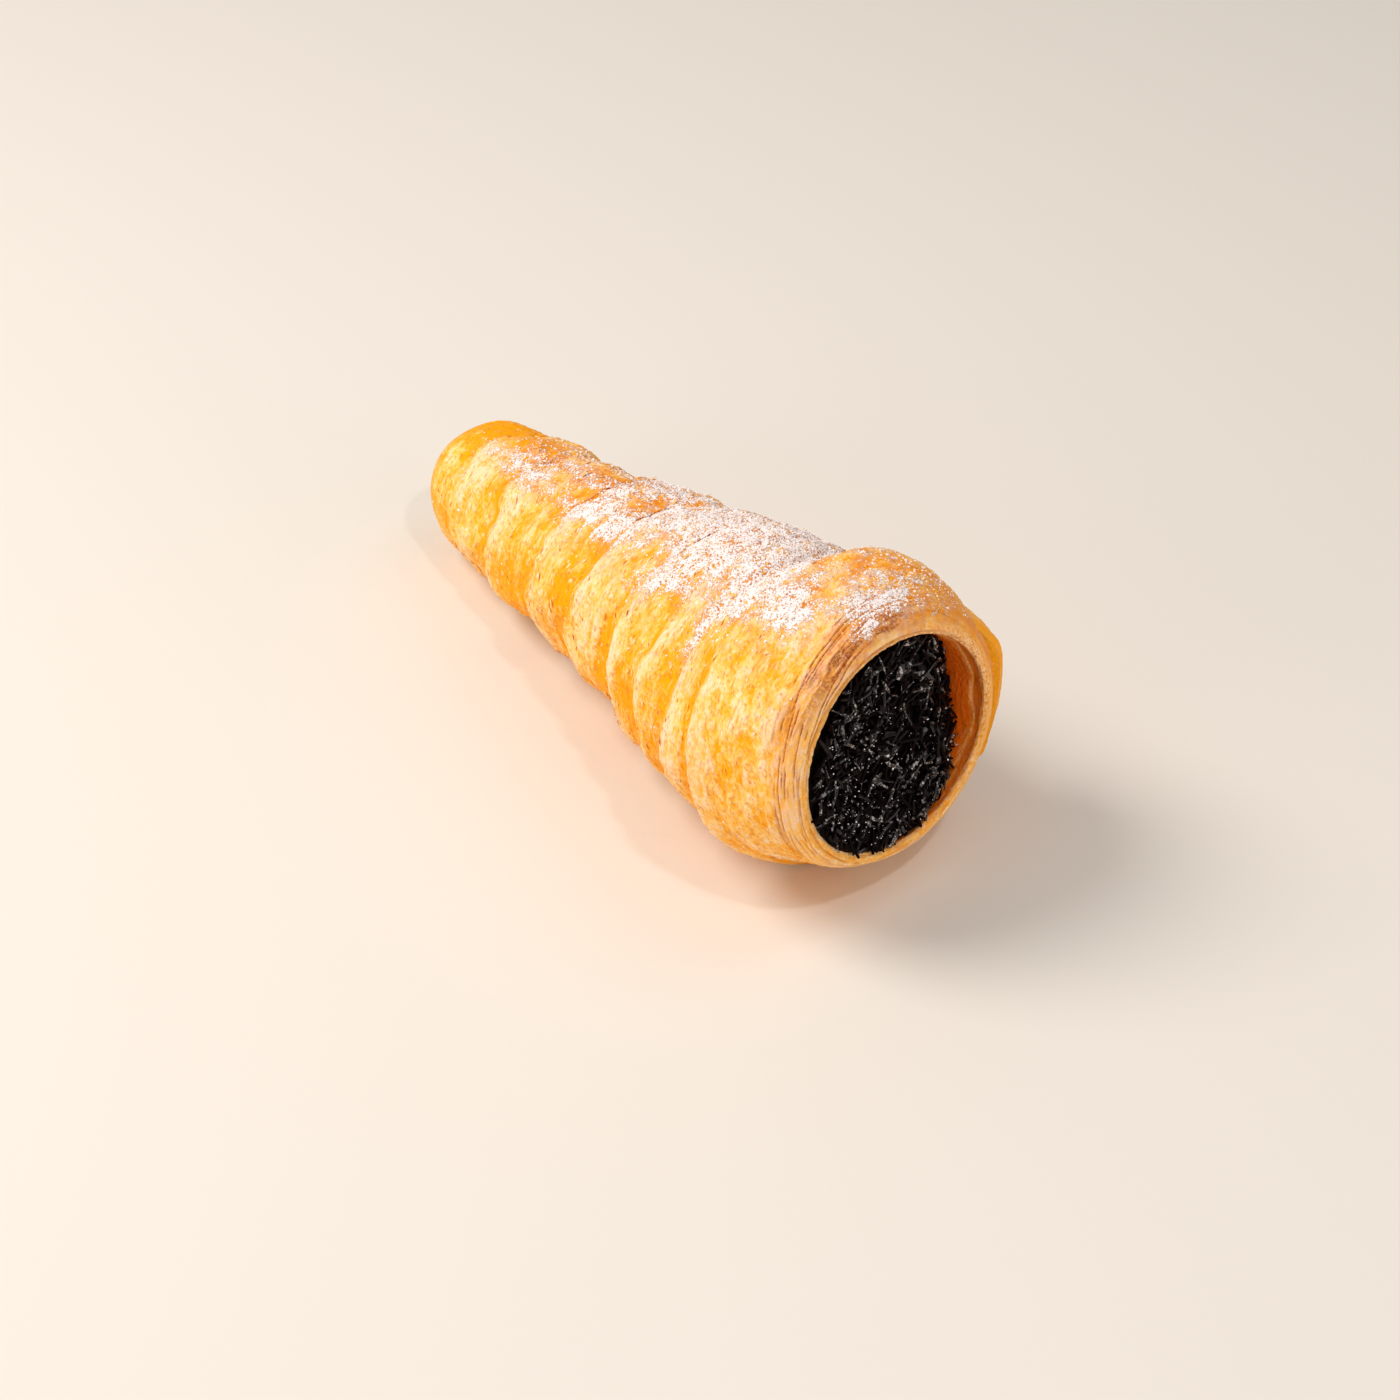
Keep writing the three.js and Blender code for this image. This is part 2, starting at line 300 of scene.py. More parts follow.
def torn_sheets(lay):
    """Thin sheets with torn edges: height in mm, level from -1 to 1, and how
    near a torn edge is."""
    field = lay.noise(11, 2.6, 1) + 0.7 * lay.noise(4.2, 1.3, 2) + 0.5 * lay.noise(1.7, 0.75, 3)
    levels = field * 2.6
    base = np.floor(levels)
    share = levels - base
    riser = smooth(share, 0.72, 0.96)
    level = (base + riser) / 2.6
    torn = 4 * riser * (1 - riser)
    blisters = lay.noise(2.3, 1.5, 4)
    height = 0.22 * level + 0.11 * torn + 0.06 * blisters + 0.06 * lay.noise(0.95, 0.6, 5)
    return height, level + 0.6 * blisters, torn


def cut_layers(lay, count, pitch, size):
    """The stacked layers of a cut edge: depth in mm below the face that they
    carry, and how near a layer's rim is."""
    depth = np.zeros(np.broadcast(lay.along, lay.across).shape)
    rim = np.zeros_like(depth)
    for layer in range(count):
        flat = Lay(lay.along, 0, lay.seed + 7 * layer, lay.circumference)
        reach = pitch * (layer + 0.5 + 0.5 * flat.noise(7, 1, 11) + 0.22 * flat.noise(2, 1, 12))
        step = smooth(lay.across, reach - 0.14, reach + 0.14)
        depth += size * (1 + 0.5 * flat.noise(11, 1, 13)) * (1 - step)
        rim = np.maximum(rim, 4 * step * (1 - step))
    return depth, rim


def strip_length(wound):
    """Length in mm of the strip up to a place given in turns."""
    return 2 * math.pi * (13.9 * wound + wound ** 2)


SEAM_STEP = 0.22                 # that a turn's edge stands over the turn before it


def strip_relief(along, angle):
    """Fine relief of the wound strip, with its masks and grain coordinates."""
    _, across, wound, beyond = strip_place(along, angle)
    lay = Lay(strip_length(wound), beyond, 5)
    sheets, level, torn = torn_sheets(lay)
    depth, rim = cut_layers(lay, 3, 0.9, 0.07)
    fade = smooth(along, 1, 14)
    joined = band(across, -0.04, 0.08, 0.86, 1)
    over = SEAM_STEP * (1 - smooth(across, 0, 0.5))
    height = fade * (sheets * joined - depth * joined + over)
    wound_grain = np.stack(np.broadcast_arrays(lay.along, 0 * beyond, beyond), axis=-1)
    tip_grain = round_grain(crest_radius(along, angle), angle, along)
    grain = mix(tip_grain, wound_grain, smooth(along, 5, 9)[..., None])
    level = level * smooth(along, 3, 9)
    broken = smooth(lay.noise(5, 50, 8) + 0.5 * lay.noise(1.6, 50, 9), -0.3, 0.3)
    crack = hump(beyond, 0, 0.7) * hump_round(angle, 86, 5) * broken * smooth(along, 24, 36)
    return height - 0.3 * crack, level, np.maximum(torn, 0.5 * rim) * fade, crack, grain


# Distance along the rim's profile from the lip, for places near the mouth.
RIM_PLACES = HORN_LENGTH - (HORN_LENGTH - 100) * np.linspace(1, 0, 400) ** 2
RIM_STEPS = np.hypot(np.diff(RIM_PLACES), np.diff(crest_radius(RIM_PLACES, 180)))
RIM_DISTANCES = np.append(np.cumsum(RIM_STEPS[::-1])[::-1], 0)


def lip_distance(along):
    return np.interp(along, RIM_PLACES, RIM_DISTANCES)


LAYER_PITCH, LAYERS = 0.5, 15    # of the dough's layers that show at the lip
LAYERS_END = 8.5                 # how far from the lip the rows lie closest
RIM_MEAN_RADIUS = 27


def rim_relief(distance, angle):
    """Fine relief of the rim at a distance from the lip, less than 0 on the
    lip's face: flaky outside, and layers stacked at the lip."""
    girth = 2 * math.pi * RIM_MEAN_RADIUS
    distance, angle = np.broadcast_arrays(distance, angle)
    lay = Lay((angle - FIRST_ANGLE) / 360 * girth, distance, 9, girth)
    rings = [Lay(lay.along, 0, 40 + number, girth) for number in range(LAYERS + 1)]
    first = -1.5 + 3.4 * hump_round(angle, 80, 2.2) + 0.25 * rings[-1].noise(20, 1, 1)
    grooves = np.zeros_like(distance)
    for number, ring in enumerate(rings[:-1]):
        wander = 0.65 * ring.noise(17, 1, 1) + 0.25 * ring.noise(5, 1, 2) + 0.1 * ring.noise(1.5, 1, 4)
        unbroken = smooth(ring.noise(9, 1, 3) + 0.6 * ring.noise(2.5, 1, 5), -0.35, 0.5)
        middle = first + LAYER_PITCH * (number + wander)
        grooves = np.maximum(grooves, hump(distance, middle, 0.14) * unbroken)
    strong = 0.15 + 0.9 * hump_round(angle, 150, 1.3) + 0.5 * hump_round(angle, 255, 3)
    strong = strong * (0.8 + 0.2 * noise(angle / 7, distance, 86))
    brown = 0.3 + 0.8 * hump_round(angle, 118, 2.6)
    sheets, level, torn = torn_sheets(lay)
    flaky = smooth(distance, np.maximum(first, 0) + 1.5, np.maximum(first, 0) + 7)
    threads = lay.noise(9, 0.4, 6) + 0.6 * lay.noise(2.5, 0.5, 7)
    threads = threads * smooth(distance, first - 0.3, first + 0.5) * (1 - flaky)
    height = sheets * mix(0.12, 1, flaky) - 0.3 * grooves * strong + 0.1 * threads
    grooves = grooves * np.minimum(1.3 * strong, 1)
    return (height, level * mix(0.4, 1, flaky) + 0.55 * threads,
            np.maximum(torn * flaky, grooves), grooves * brown,
            round_grain(RIM_MEAN_RADIUS, angle, distance))


# ---- Sugar -----------------------------------------------------------------

# Places along, angle, half length, half width in degrees and amount of the
# patches where sugar lies thicker or is missing.
SUGAR_PATCHES = (
    (21, 110, 5, 10, 0.3),
    (30, 112, 9, 15, 0.3), (44, 116, 8, 11, 0.35), (61, 122, 8, 9, 0.5), (75, 124, 6, 8, 0.45),
    (88, 134, 5, 9, 0.75), (100, 128, 7, 9, 0.55), (110, 138, 3, 12, 0.75), (118, 121, 6, 10, 0.9),
    (129, 116, 7, 12, 0.8), (140, 92, 3, 18, 0.5), (142, 106, 1.3, 12, 0.35),
    (136, 84, 4, 14, 0.3), (128, 98, 6, 9, 0.15),
    (45, 104, 3, 5, -0.6), (53, 108, 3.5, 7, -0.8), (50, 80, 9, 7, -0.6), (66, 98, 3, 6, -0.8),
    (69, 88, 2.5, 6, -0.7), (74, 74, 3, 8, -0.6), (63, 124, 2.5, 4, -0.4), (132, 100, 2, 7, -0.5),
    (124, 84, 3, 7, -0.3), (139, 112, 3, 8, -0.5),
)


def patches_at(patches, along, angle):
    return sum(weight * hump(along, middle, length) * hump(angle, side, width)
               for middle, side, length, width, weight in patches)


def sugar_at(along, angle):
    """How thickly the sugar lies, from 0 to 1."""
    angle = (angle + 90) % 360 - 90
    wander = 8 * noise(along / 7, 0, 3) + 6 * noise(along / 2.5, 0, 4)
    limit = 122 + wander - 14 * smooth(along, 126, 140)
    near_side = 1 - smooth(angle, limit - 14, limit + 12)
    far_side = smooth(angle, 24 - wander, 62 - wander)
    start = smooth(along, 17, 36) * mix(0.55, 1, smooth(along, 40, 70))
    thin = mix(1, 0.45, smooth(along, 121, 126))
    amount = near_side * far_side * start * thin * 1.02
    clumps = 0.22 * noise(along / 2.2, angle / 5, 5) + 0.14 * noise(along / 1, angle / 2.4, 6)
    amount = amount + patches_at(SUGAR_PATCHES, along, angle)
    amount = amount + clumps * smooth(amount, 0.05, 0.4)
    return np.clip(amount * (1 - 0.7 * smooth(along, 142.6, 143.6)), 0, 1)


# Where the crust is a deep amber, in the same way.
AMBER_PATCHES = (
    (17, 178, 5, 14, 0.4), (36, 187, 10, 17, 0.55), (53, 188, 6, 10, 0.35), (65, 163, 3, 12, 0.4),
    (94, 190, 9, 12, 0.3), (105, 168, 4, 16, 0.3), (121, 160, 3, 18, 0.35), (133, 180, 5, 20, 0.3),
    (15, 80, 12, 26, 0.9), (10, 118, 6, 22, 0.35), (28, 94, 9, 14, 0.4), (6, 165, 5, 40, 0.2),
    (136, 58, 8, 20, 0.4),
)

# Where it is browned.
BAKED_PATCHES = (
    (51, 88, 9, 14, 0.5), (44, 108, 3, 6, 0.5), (34, 96, 5, 14, 0.25), (71, 90, 3, 12, 0.4),
    (100, 96, 6, 10, 0.3), (136, 99, 6, 12, 0.25), (142.6, 88, 1.4, 20, 0.7),
)


# ---- Building meshes -------------------------------------------------------

def add_marks(mesh, marks):
    """Gives every vertex the values and vectors that the materials read."""
    for mark, values in marks.items():
        values = np.reshape(values, (len(mesh.vertices), -1)).astype(np.float32)
        kind, field = ("FLOAT", "value") if values.shape[1] == 1 else ("FLOAT_VECTOR", "vector")
        mesh.attributes.new(mark, kind, "POINT").data.foreach_set(field, values.reshape(-1))


def stacked(rows, angle):
    """One block of rows from blocks, rows and values for a whole row."""
    return np.concatenate([(row + 0 * angle).reshape(-1, angle.size) for row in rows])


def extended(marks, before, after):
    """The marks of a block whose first and last rows are repeated."""
    count = len(marks["tone"])
    kept = np.clip(np.arange(-before, count + after), 0, count - 1)
    return {mark: values[kept] for mark, values in marks.items()}


def skin(name, along, radius, angle, marks):
    """A closed mesh from rows and columns of points. Rows and columns that meet
    are merged, and what is left open is filled."""
    rows, columns = along.shape
    angle = np.broadcast_to(angle, along.shape)
    shape = bmesh.new()
    bmesh.ops.create_grid(shape, x_segments=columns - 1, y_segments=rows - 1, size=1)
    mesh = bpy.data.meshes.new(name)
    shape.to_mesh(mesh)
    shape.free()
    points = place(along, radius, angle) * MM
    mesh.vertices.foreach_set("co", points.reshape(-1))
    add_marks(mesh, marks)
    shape = bmesh.new()
    shape.from_mesh(mesh)
    bmesh.ops.remove_doubles(shape, verts=shape.verts, dist=1e-7)
    rims = [edge for edge in shape.edges if edge.is_boundary]
    filled = bmesh.ops.holes_fill(shape, edges=rims, sides=0)["faces"]
    bmesh.ops.triangulate(shape, faces=filled)
    bmesh.ops.recalc_face_normals(shape, faces=shape.faces)
    open_edges = sum(1 for edge in shape.edges if not edge.is_manifold)
    shape.to_mesh(mesh)
    shape.free()
    if open_edges:
        raise RuntimeError(f"{name} has {open_edges} open edges")
    mesh.shade_smooth()
    return linked(name, mesh)


def linked(name, data):
    """An object of its own for a mesh, a light or a camera."""
    made = bpy.data.objects.new(name, data)
    bpy.context.scene.collection.objects.link(made)
    return made


def crust_marks(along, angle, level, edge, crease, grain):
    """The masks that the crust's material reads."""
    hollow = turn_hollow(along, angle) / STEP_HEIGHT
    crest = hump(strip_place(along, angle)[1], 0.24, 0.13) * (1 - smooth(along, 120, 130))
    patches = noise(along / 11, angle / 26, 70) + 0.5 * noise(along / 4, angle / 11, 71)
    far = hump_round(angle, 0, 1.6)
    # Paler on the crests of the turns and more amber in their hollows: partly the pastry's own colour,
    # partly painted highlight and painted shade. More amber on the far side as painted shade, and more
    # amber on the lower near side.
    tone = (0.67 + 0.28 * level - 0.52 * hollow + 0.2 * crest + 0.16 * patches - 0.22 * far
            - 0.12 * hump_round(angle, 225, 2) + 0.08 * smooth(along, 60, 100) - 0.03
            - patches_at(AMBER_PATCHES, along, angle))
    from_lip = lip_distance(along)
    lip = 1 - smooth(from_lip, 0, 2.4)
    strokes = noise(from_lip / 0.9, angle / 11, 79) + 0.7 * noise(from_lip / 0.45, angle / 5, 80)
    strokes = 0.85 * band(from_lip, 0.6, 2, 4, 7) * smooth(strokes, -0.1, 0.5)
    crease = np.clip(np.maximum(crease, strokes * hump_round(angle, 105, 4)), 0, 1)
    layers = band(from_lip, 0.5, 1.6, 4.8, 7.5)
    behind_lip = band(from_lip, 1.6, 3, 9, 16)
    top = hump_round(angle, 90, 3.5) * smooth(along, 14, 40)
    spots = noise(along / 2.4, angle / 6, 73) + 0.6 * noise(along / 1.1, angle / 2.8, 74)
    bake = (patches_at(BAKED_PATCHES, along, angle) + top * (0.5 + 0.75 * spots)
            + 0.55 * layers * hump_round(angle, 120, 5) + 0.3 * layers
            + 0.22 * noise(along / 5, angle / 15, 72) - 0.08)
    return {
        "tone": np.clip(tone, -0.3, 1),
        "bake": np.clip(bake, 0, 1),
        "edge": np.clip(edge, 0, 1),
        "crease": crease,
        "lip": lip * (0.3 + 0.7 * hump_round(angle, 40, 1.8)) * (1 - 0.75 * hump_round(angle, 95, 4)),
        # Painted shade in the hollow behind the lip, on the far side.
        "painted_shade": 0.5 * behind_lip * hump_round(angle, 0, 3),
        "sugar": sugar_at(along, angle) * (1 - 0.8 * crease),
        "grain": grain,
    }


def strip_radius(along, angle):
    """The radius of the wound crust, with the masks and grain of its relief."""
    relief = strip_relief(along, angle)
    lumps = 0.35 * noise(along / 4.5, angle / 16, 76) + 0.2 * noise(along / 2.2, angle / 8, 77)
    lumps = lumps * hump_round(angle, 62, 4) * band(along, 12, 30, 126, 138)
    torn_end = along + 1.3 * noise(angle / 8, 0, 78)
    dent = band(torn_end, 28, 37, 51.5, 53.5) * hump_round(angle, 52, 5)
    return wound_radius(along, angle) + relief[0] + lumps - 1.2 * dent, relief[1:]


def strip_rows(first, last, rows_per_turn, angle):
    """Places along the axis of rows that follow the winding, two of them close
    together at every seam."""
    shares = np.append((np.arange(rows_per_turn - 1) / rows_per_turn) ** 1.15, 0.9985)
    turns = np.concatenate([turn + shares for turn in range(math.floor(first), math.ceil(last))])
    turns = turns[(turns >= first) & (turns < last)]
    rows = along_at(np.append(turns, last)[:, None] - (angle - SEAM_FACE) / 360)
    return unragged(rows, np.broadcast_to(angle, rows.shape))


BURIED = 1.5                     # depth of the hidden edges of a section
TIP_RINGS_END = 5.0
BORE_BEND_AT = 60.0              # a hidden row of the bore between the tip and its seams


def crust_section(name, first, last, rows_per_turn, columns, with_tip=False):
    """A section of the horn that begins and ends at the seams between turns."""
    angle = np.linspace(FIRST_ANGLE, STRIP_END_AT, columns + 1)[None, :]
    outer = strip_rows(first, last, rows_per_turn, angle)
    if with_tip:
        quarter = np.linspace(0, 1, 30)[:, None]
        rings = TIP_RINGS_END * (1 - np.cos(quarter * math.pi / 2)) + 0 * angle
        outer = np.concatenate([rings, np.maximum(outer, TIP_RINGS_END)])
    angles = np.broadcast_to(angle, outer.shape)
    radius, (level, edge, crease, grain) = strip_radius(outer, angles)
    marks = crust_marks(outer, angles, level, edge, crease, grain)
    after = [(outer[-1] + 0.2, radius[-1] - BURIED), (outer[-1], bore_radius(outer[-1]))]
    if with_tip:
        before = []
        after += [(BORE_BEND_AT, bore_radius(BORE_BEND_AT)), (BORE_END_AT, BORE_END_RADIUS),
                  (BORE_END_AT, 0.0)]
    else:
        before = [(outer[0], bore_radius(outer[0])), (outer[0] - 0.2, radius[0] - BURIED)]
        halfway = (outer[0].max() + outer[-1].min()) / 2
        after += [(halfway, bore_radius(halfway)), before[0]]
    places, radii = zip(*before, (outer, radius), *after)
    return skin(name, stacked(places, angle), stacked(radii, angle), angle,
                extended(marks, len(before), len(after)))


def mouth_section(name, columns):
    """The last turns, the rim, the lip and the bore behind it."""
    angle = np.linspace(FIRST_ANGLE, STRIP_END_AT, columns + 1)[None, :]
    start = unragged(along_at(LAST_TURN - (angle - SEAM_FACE) / 360), angle)
    ring_start = float(start.max())
    wedge = mix(start, ring_start, (np.arange(30)[:, None] / 30) ** 1.2)
    distances = np.append(np.linspace(lip_distance(ring_start), LAYERS_END, 42)[:-1],
                          np.linspace(LAYERS_END, 0, 70))
    outer = stacked([wedge, np.interp(-distances, -RIM_DISTANCES, RIM_PLACES)[:, None]], angle)
    angles = np.broadcast_to(angle, outer.shape)
    strip, (level, edge, crease, _) = strip_radius(outer, angles)
    rim = rim_relief(lip_distance(outer), angles)
    to_rim = smooth(outer, *TO_RIM)
    lip_fade = 1 - smooth(outer, 143.2, 143.9)
    plain = wound_radius(outer, angles) + lip_outside(outer, angles)
    radius = mix(strip, plain + rim[0] * mix(0.4, 1, lip_fade), to_rim)
    marks = crust_marks(outer, angles, mix(level, rim[1], to_rim), mix(edge, rim[2], to_rim),
                        mix(crease, rim[3], to_rim), rim[4])
    lip_along, lip_radius, over_lip = lip_rows(angle)
    face = rim_relief(-over_lip, angle)
    lip_along = lip_along + face[0] * band(over_lip, 0, 0.5, 1.2, 2.4)
    bore = np.concatenate([np.linspace(143.0, 139.2, 20), np.linspace(138.6, 131, 13), [124]])
    bore = bore[:, None]
    layer_end = 141.2 + 0.9 * noise(angle / 14, 0, 85)
    inside = (mouth_wall(bore, angle) + 0.15 * noise(angle / 9, bore / 1.7, 81)
              - 0.3 * smooth(layer_end - bore, -0.3, 0.9) * smooth(bore, 131, 136)
              * hump_round(angle, 50, 1.5))
    along = stacked([start, start - 0.2, outer, lip_along, bore, start], angle)
    wide = stacked([bore_radius(start), radius[0] - BURIED, radius, lip_radius, inside,
                    bore_radius(start)], angle)
    marks = extended(marks, 2, len(lip_along) + len(bore) + 1)
    lip_start = 2 + len(outer)
    bore_start = lip_start + len(lip_along)
    over_bore = HORN_LENGTH - along[bore_start:]
    for rows, distance, changed in (
            (slice(lip_start, bore_start), over_lip, lip_marks(marks, angle, over_lip, face)),
            (slice(bore_start, None), over_bore, bore_marks(angle, over_bore, layer_end))):
        marks["grain"][rows, :, 2] = -distance
        for mark, values in changed.items():
            marks[mark][rows] = values
    return skin(name, along, wide, angle, marks)


def lip_marks(marks, angle, over_lip, face):
    """What the layers on the lip's face change of the marks outside it."""
    share = over_lip / over_lip[-1:]
    inner_edge = smooth(share, 0.6, 0.95)
    outer_edge = (1 - smooth(share, 0.3, 0.6)) * hump_round(angle, 98, 3)
    pale_edge = inner_edge * hump_round(angle, 205, 1.2)
    crumbs = 0.3 + 0.7 * hump_round(angle, 55, 1.6)
    return {
        "tone": np.clip(0.36 + 0.4 * face[1] + 0.6 * pale_edge, 0, 1),
        "bake": 0.7 * outer_edge,
        "edge": face[2] * (1 - pale_edge),
        "crease": np.maximum(face[3] * (1 - pale_edge), 0.6 * outer_edge),
        "lip": mix(marks["lip"][-1:], crumbs, smooth(share, 0.2, 0.6)),
        # Painted shade on the lip's inner edge, on its thinner side.
        "painted_shade": 0.5 * inner_edge * hump_round(angle, LIP_SIDE, 1.6),
        "sugar": 0.3 * outer_edge,
    }


def bore_marks(angle, depth, layer_end):
    """The marks inside the mouth, with painted shade that darkens the wall further in from the lip."""
    behind = smooth(depth, 0.2, 1.4)
    painted_shade = behind * mix(0.85, 1, smooth(depth, 2, 6))
    layer_edge = 0.8 * hump(HORN_LENGTH - depth, layer_end, 0.3) * hump_round(angle, 10, 1.5)
    return {
        "tone": mix(0.6, 0.2, painted_shade), "bake": 0.1, "edge": 0, "crease": 0,
        "lip": np.maximum(1 - behind, layer_edge), "painted_shade": painted_shade * (1 - layer_edge), "sugar": 0,
    }


def lip_rows(angle):
    """The rounding between the rim and the bore, with the distance over it."""
    turn = np.linspace(0, math.pi / 2, 15)[1:-1, None]
    crumbs = 0.17 * noise(angle / 2, turn * 3.5, 83, 180) + 0.18 * noise(angle / 9, 0, 84, 40)
    along = HORN_LENGTH - LIP_ROUNDING * (1 - np.cos(turn)) + crumbs * np.sin(turn * 2)
    outside = MOUTH_RADIUS + LIP_ROUNDING + lip_outside(HORN_LENGTH, angle)
    wall = mouth_wall(HORN_LENGTH - LIP_ROUNDING, angle)
    return along, mix(outside, wall, np.sin(turn)), (outside - wall) * np.sin(turn)


END_STEPS, END_LENGTH = 4, 4.5   # layers at the cut end, and the degrees that they take
OUTER_SPAN = 71                  # degrees round the horn that the outer layer takes
OUTER_GIRTH = 2 * math.pi * 31


def outer_layer(name):
    """The strip's loose end: a thick ribbon on the far side of the rim."""
    angle = (FIRST_ANGLE + OUTER_SPAN * np.linspace(0, 1, 180) ** 1.15)[:, None]
    behind = angle - FIRST_ANGLE
    cover = 1 - smooth(behind, *STRIP_FADE)
    start = along_at(LAST_TURN - (angle - SEAM_FACE) / 360)
    across = np.linspace(0, 1, 58)[None, :]
    ragged = 1.2 * noise(9 * across, 0, 55)
    stair = (behind + ragged) / END_LENGTH * END_STEPS
    stair = np.clip((np.floor(stair) + smooth(stair - np.floor(stair), 0.6, 1)) / END_STEPS, 0, 1)
    height = STRIP_END_HEIGHT * cover * mix(0.3, 1, stair) - 0.7 * (1 - smooth(cover, 0, 0.12))
    top = mix(start, STRIP_EDGE - 0.6, across)
    angles = np.broadcast_to(angle, top.shape)
    rise = np.minimum(smooth(across, -0.02, 0.14), 1 - 0.22 * smooth(across, 0.86, 1))
    lay = Lay((angles - FIRST_ANGLE) / 360 * OUTER_GIRTH, top - start, 21, OUTER_GIRTH)
    sheets, level, torn = torn_sheets(lay)
    depth, rim = cut_layers(Lay(lay.along, STRIP_EDGE - top, 22, OUTER_GIRTH), 3, 0.8, 0.18)
    outside = crest_radius(top, angles) + height * rise + sheets * 0.8 - depth
    turn = np.linspace(90, -80, 14)[1:][None, :]
    layers = 0.16 * wave(turn, 11, 2 * noise(angle / 9, 0, 57))
    edge_along = STRIP_EDGE - 0.6 + (0.9 + layers) * cosine(turn)
    edge_radius = crest_radius(STRIP_EDGE, angle) + 0.39 * height[:, -1:] * (1 + sine(turn))
    under = mix(STRIP_EDGE - 1.2, start, np.linspace(0, 1, 10)[None, :])
    under_radius = crest_radius(under, angle) - 1.2
    along = np.concatenate([start, top, edge_along, under], axis=1)
    radius = np.concatenate([under_radius[:, -1:], outside, edge_radius, under_radius], axis=1)
    angles = np.broadcast_to(angle, along.shape)

    def widened(values, last):
        inner = np.full((len(angle), turn.size + under.shape[1]), last)
        return np.concatenate([values[:, :1], values, inner], axis=1)

    marks = crust_marks(along, angles, widened(level, 0.2), widened(np.maximum(torn, rim), 0.3),
                        widened(0 * level, 0.25), round_grain(30, angles, along))
    outside = slice(1, 1 + across.size)
    to_edge = smooth(across, 0.55, 0.95)
    marks["tone"][:] = -0.15
    marks["tone"][:, outside] = mix(0.15, 0.3 * level - 0.11, to_edge)
    marks["bake"][:, outside] *= mix(1, 0.3, to_edge)
    for mark, share in (("lip", 0), ("painted_shade", 0), ("edge", 0.3)):
        marks[mark] *= share
    return skin(name, along, radius, angles, marks)


# ---- Filling ---------------------------------------------------------------

def filling_face(share, angle, lift=0.0):
    """A point of the filling's face behind the lip."""
    sunk = hump_round(angle, RECESS_SIDE, RECESS_SHARPNESS)
    edge = mix(RECESS_LEAST, RECESS_MOST, sunk)
    along = HORN_LENGTH - mix(RECESS_MIDDLE, edge, share ** 2) + lift
    return along, share * (mouth_wall(along, angle) - FILLING_GAP)


def filling_core(name):
    """The filling's body, with an uneven face."""
    angle = np.linspace(0, 360, 181)[None, :]
    share = np.append(np.linspace(1, 0.02, 60), 0)[:, None]
    lumps = 0.3 * noise(share * cosine(angle) * 12, share * sine(angle) * 12, 61)
    face_along, face_radius = filling_face(share, angle, lumps * smooth(1 - share, 0, 0.1))
    end = BORE_END_AT + 0.9
    sides = np.array([end, 60, 105, 136.0])[:, None]
    along = stacked([end, sides, face_along], angle)
    radius = stacked([0, bore_radius(sides) - FILLING_GAP, face_radius], angle)
    return skin(name, along, radius, angle, {})


def copies(name, shapes, chosen, turns, centres, marks=None):
    """A piece of many copies. Each copy has the number of its shape, three axes
    as the rows of a matrix, with its size in them, and a centre. Where the
    copies have marks too, the shapes' numbers have to rise."""
    points, faces, count = [], [], 0
    for number, (corners, polygons) in enumerate(shapes):
        these = chosen == number
        moved = np.einsum("vi,nij->nvj", corners, turns[these]) + centres[these][:, None, :]
        points.append(moved.reshape(-1, 3))
        starts = count + np.arange(these.sum()) * len(corners)
        faces.append((polygons[None] + starts[:, None, None]).reshape(-1, polygons.shape[1]))
        count += moved.shape[0] * moved.shape[1]
    mesh = bpy.data.meshes.new(name)
    mesh.from_pydata(np.concatenate(points) * MM, [], np.concatenate(faces).tolist())
    mesh.update()
    if marks:
        sizes = [len(shapes[number][0]) for number in chosen]
        add_marks(mesh, {mark: np.repeat(values, sizes, axis=0) for mark, values in marks.items()})
        mesh.shade_smooth()
    return linked(name, mesh)


def arrays_of(shape):
    """The corners and triangles of a bmesh, which is freed."""
    bmesh.ops.triangulate(shape, faces=shape.faces)
    bmesh.ops.recalc_face_normals(shape, faces=shape.faces)
    shape.verts.index_update()
    corners = np.array([vert.co[:] for vert in shape.verts])
    triangles = np.array([[vert.index for vert in face.verts] for face in shape.faces])
    shape.free()
    return corners, triangles


def strand_shape(bend):
    """A short rod along X with slightly rounded ends, 1 long and 1 thick."""
    shape = bmesh.new()
    bmesh.ops.create_cone(shape, cap_ends=True, segments=8, radius1=0.5, radius2=0.5, depth=1)
    lengths = [edge for edge in shape.edges if abs(edge.verts[0].co.z - edge.verts[1].co.z) > 0.5]
    bmesh.ops.subdivide_edges(shape, edges=lengths, cuts=3)
    corners, triangles = arrays_of(shape)
    end = np.abs(corners[:, 2]) > 0.49
    corners[end, :2] *= 0.72
    rod = np.stack([corners[:, 2], corners[:, 0] + bend * (corners[:, 2] * 2) ** 2,
                    corners[:, 1]], axis=1)
    return rod, triangles[:, ::-1]


def unit(vectors):
    return vectors / np.linalg.norm(vectors, axis=-1, keepdims=True)


def frames_on(point_at, first, second, step):
    """Places and unit axes on a surface given by two parameters: along the
    first, across it and outwards."""
    here = point_at(first, second)
    along = point_at(first + step[0], second) - here
    across = point_at(first, second + step[1]) - here
    normal = unit(np.cross(along, across))
    along = unit(along)
    return here, along, np.cross(normal, along), normal


def face_point(y, z):
    """A point of the filling's face, from its place across the mouth, where the
    edge is 1 from the middle."""
    angle = np.degrees(np.arctan2(z, y))
    along, radius = filling_face(np.minimum(np.hypot(y, z), 1), angle)
    return place(along, radius, angle)


def face_frames(y, z):
    return frames_on(face_point, y, z, (1e-3, 1e-3))


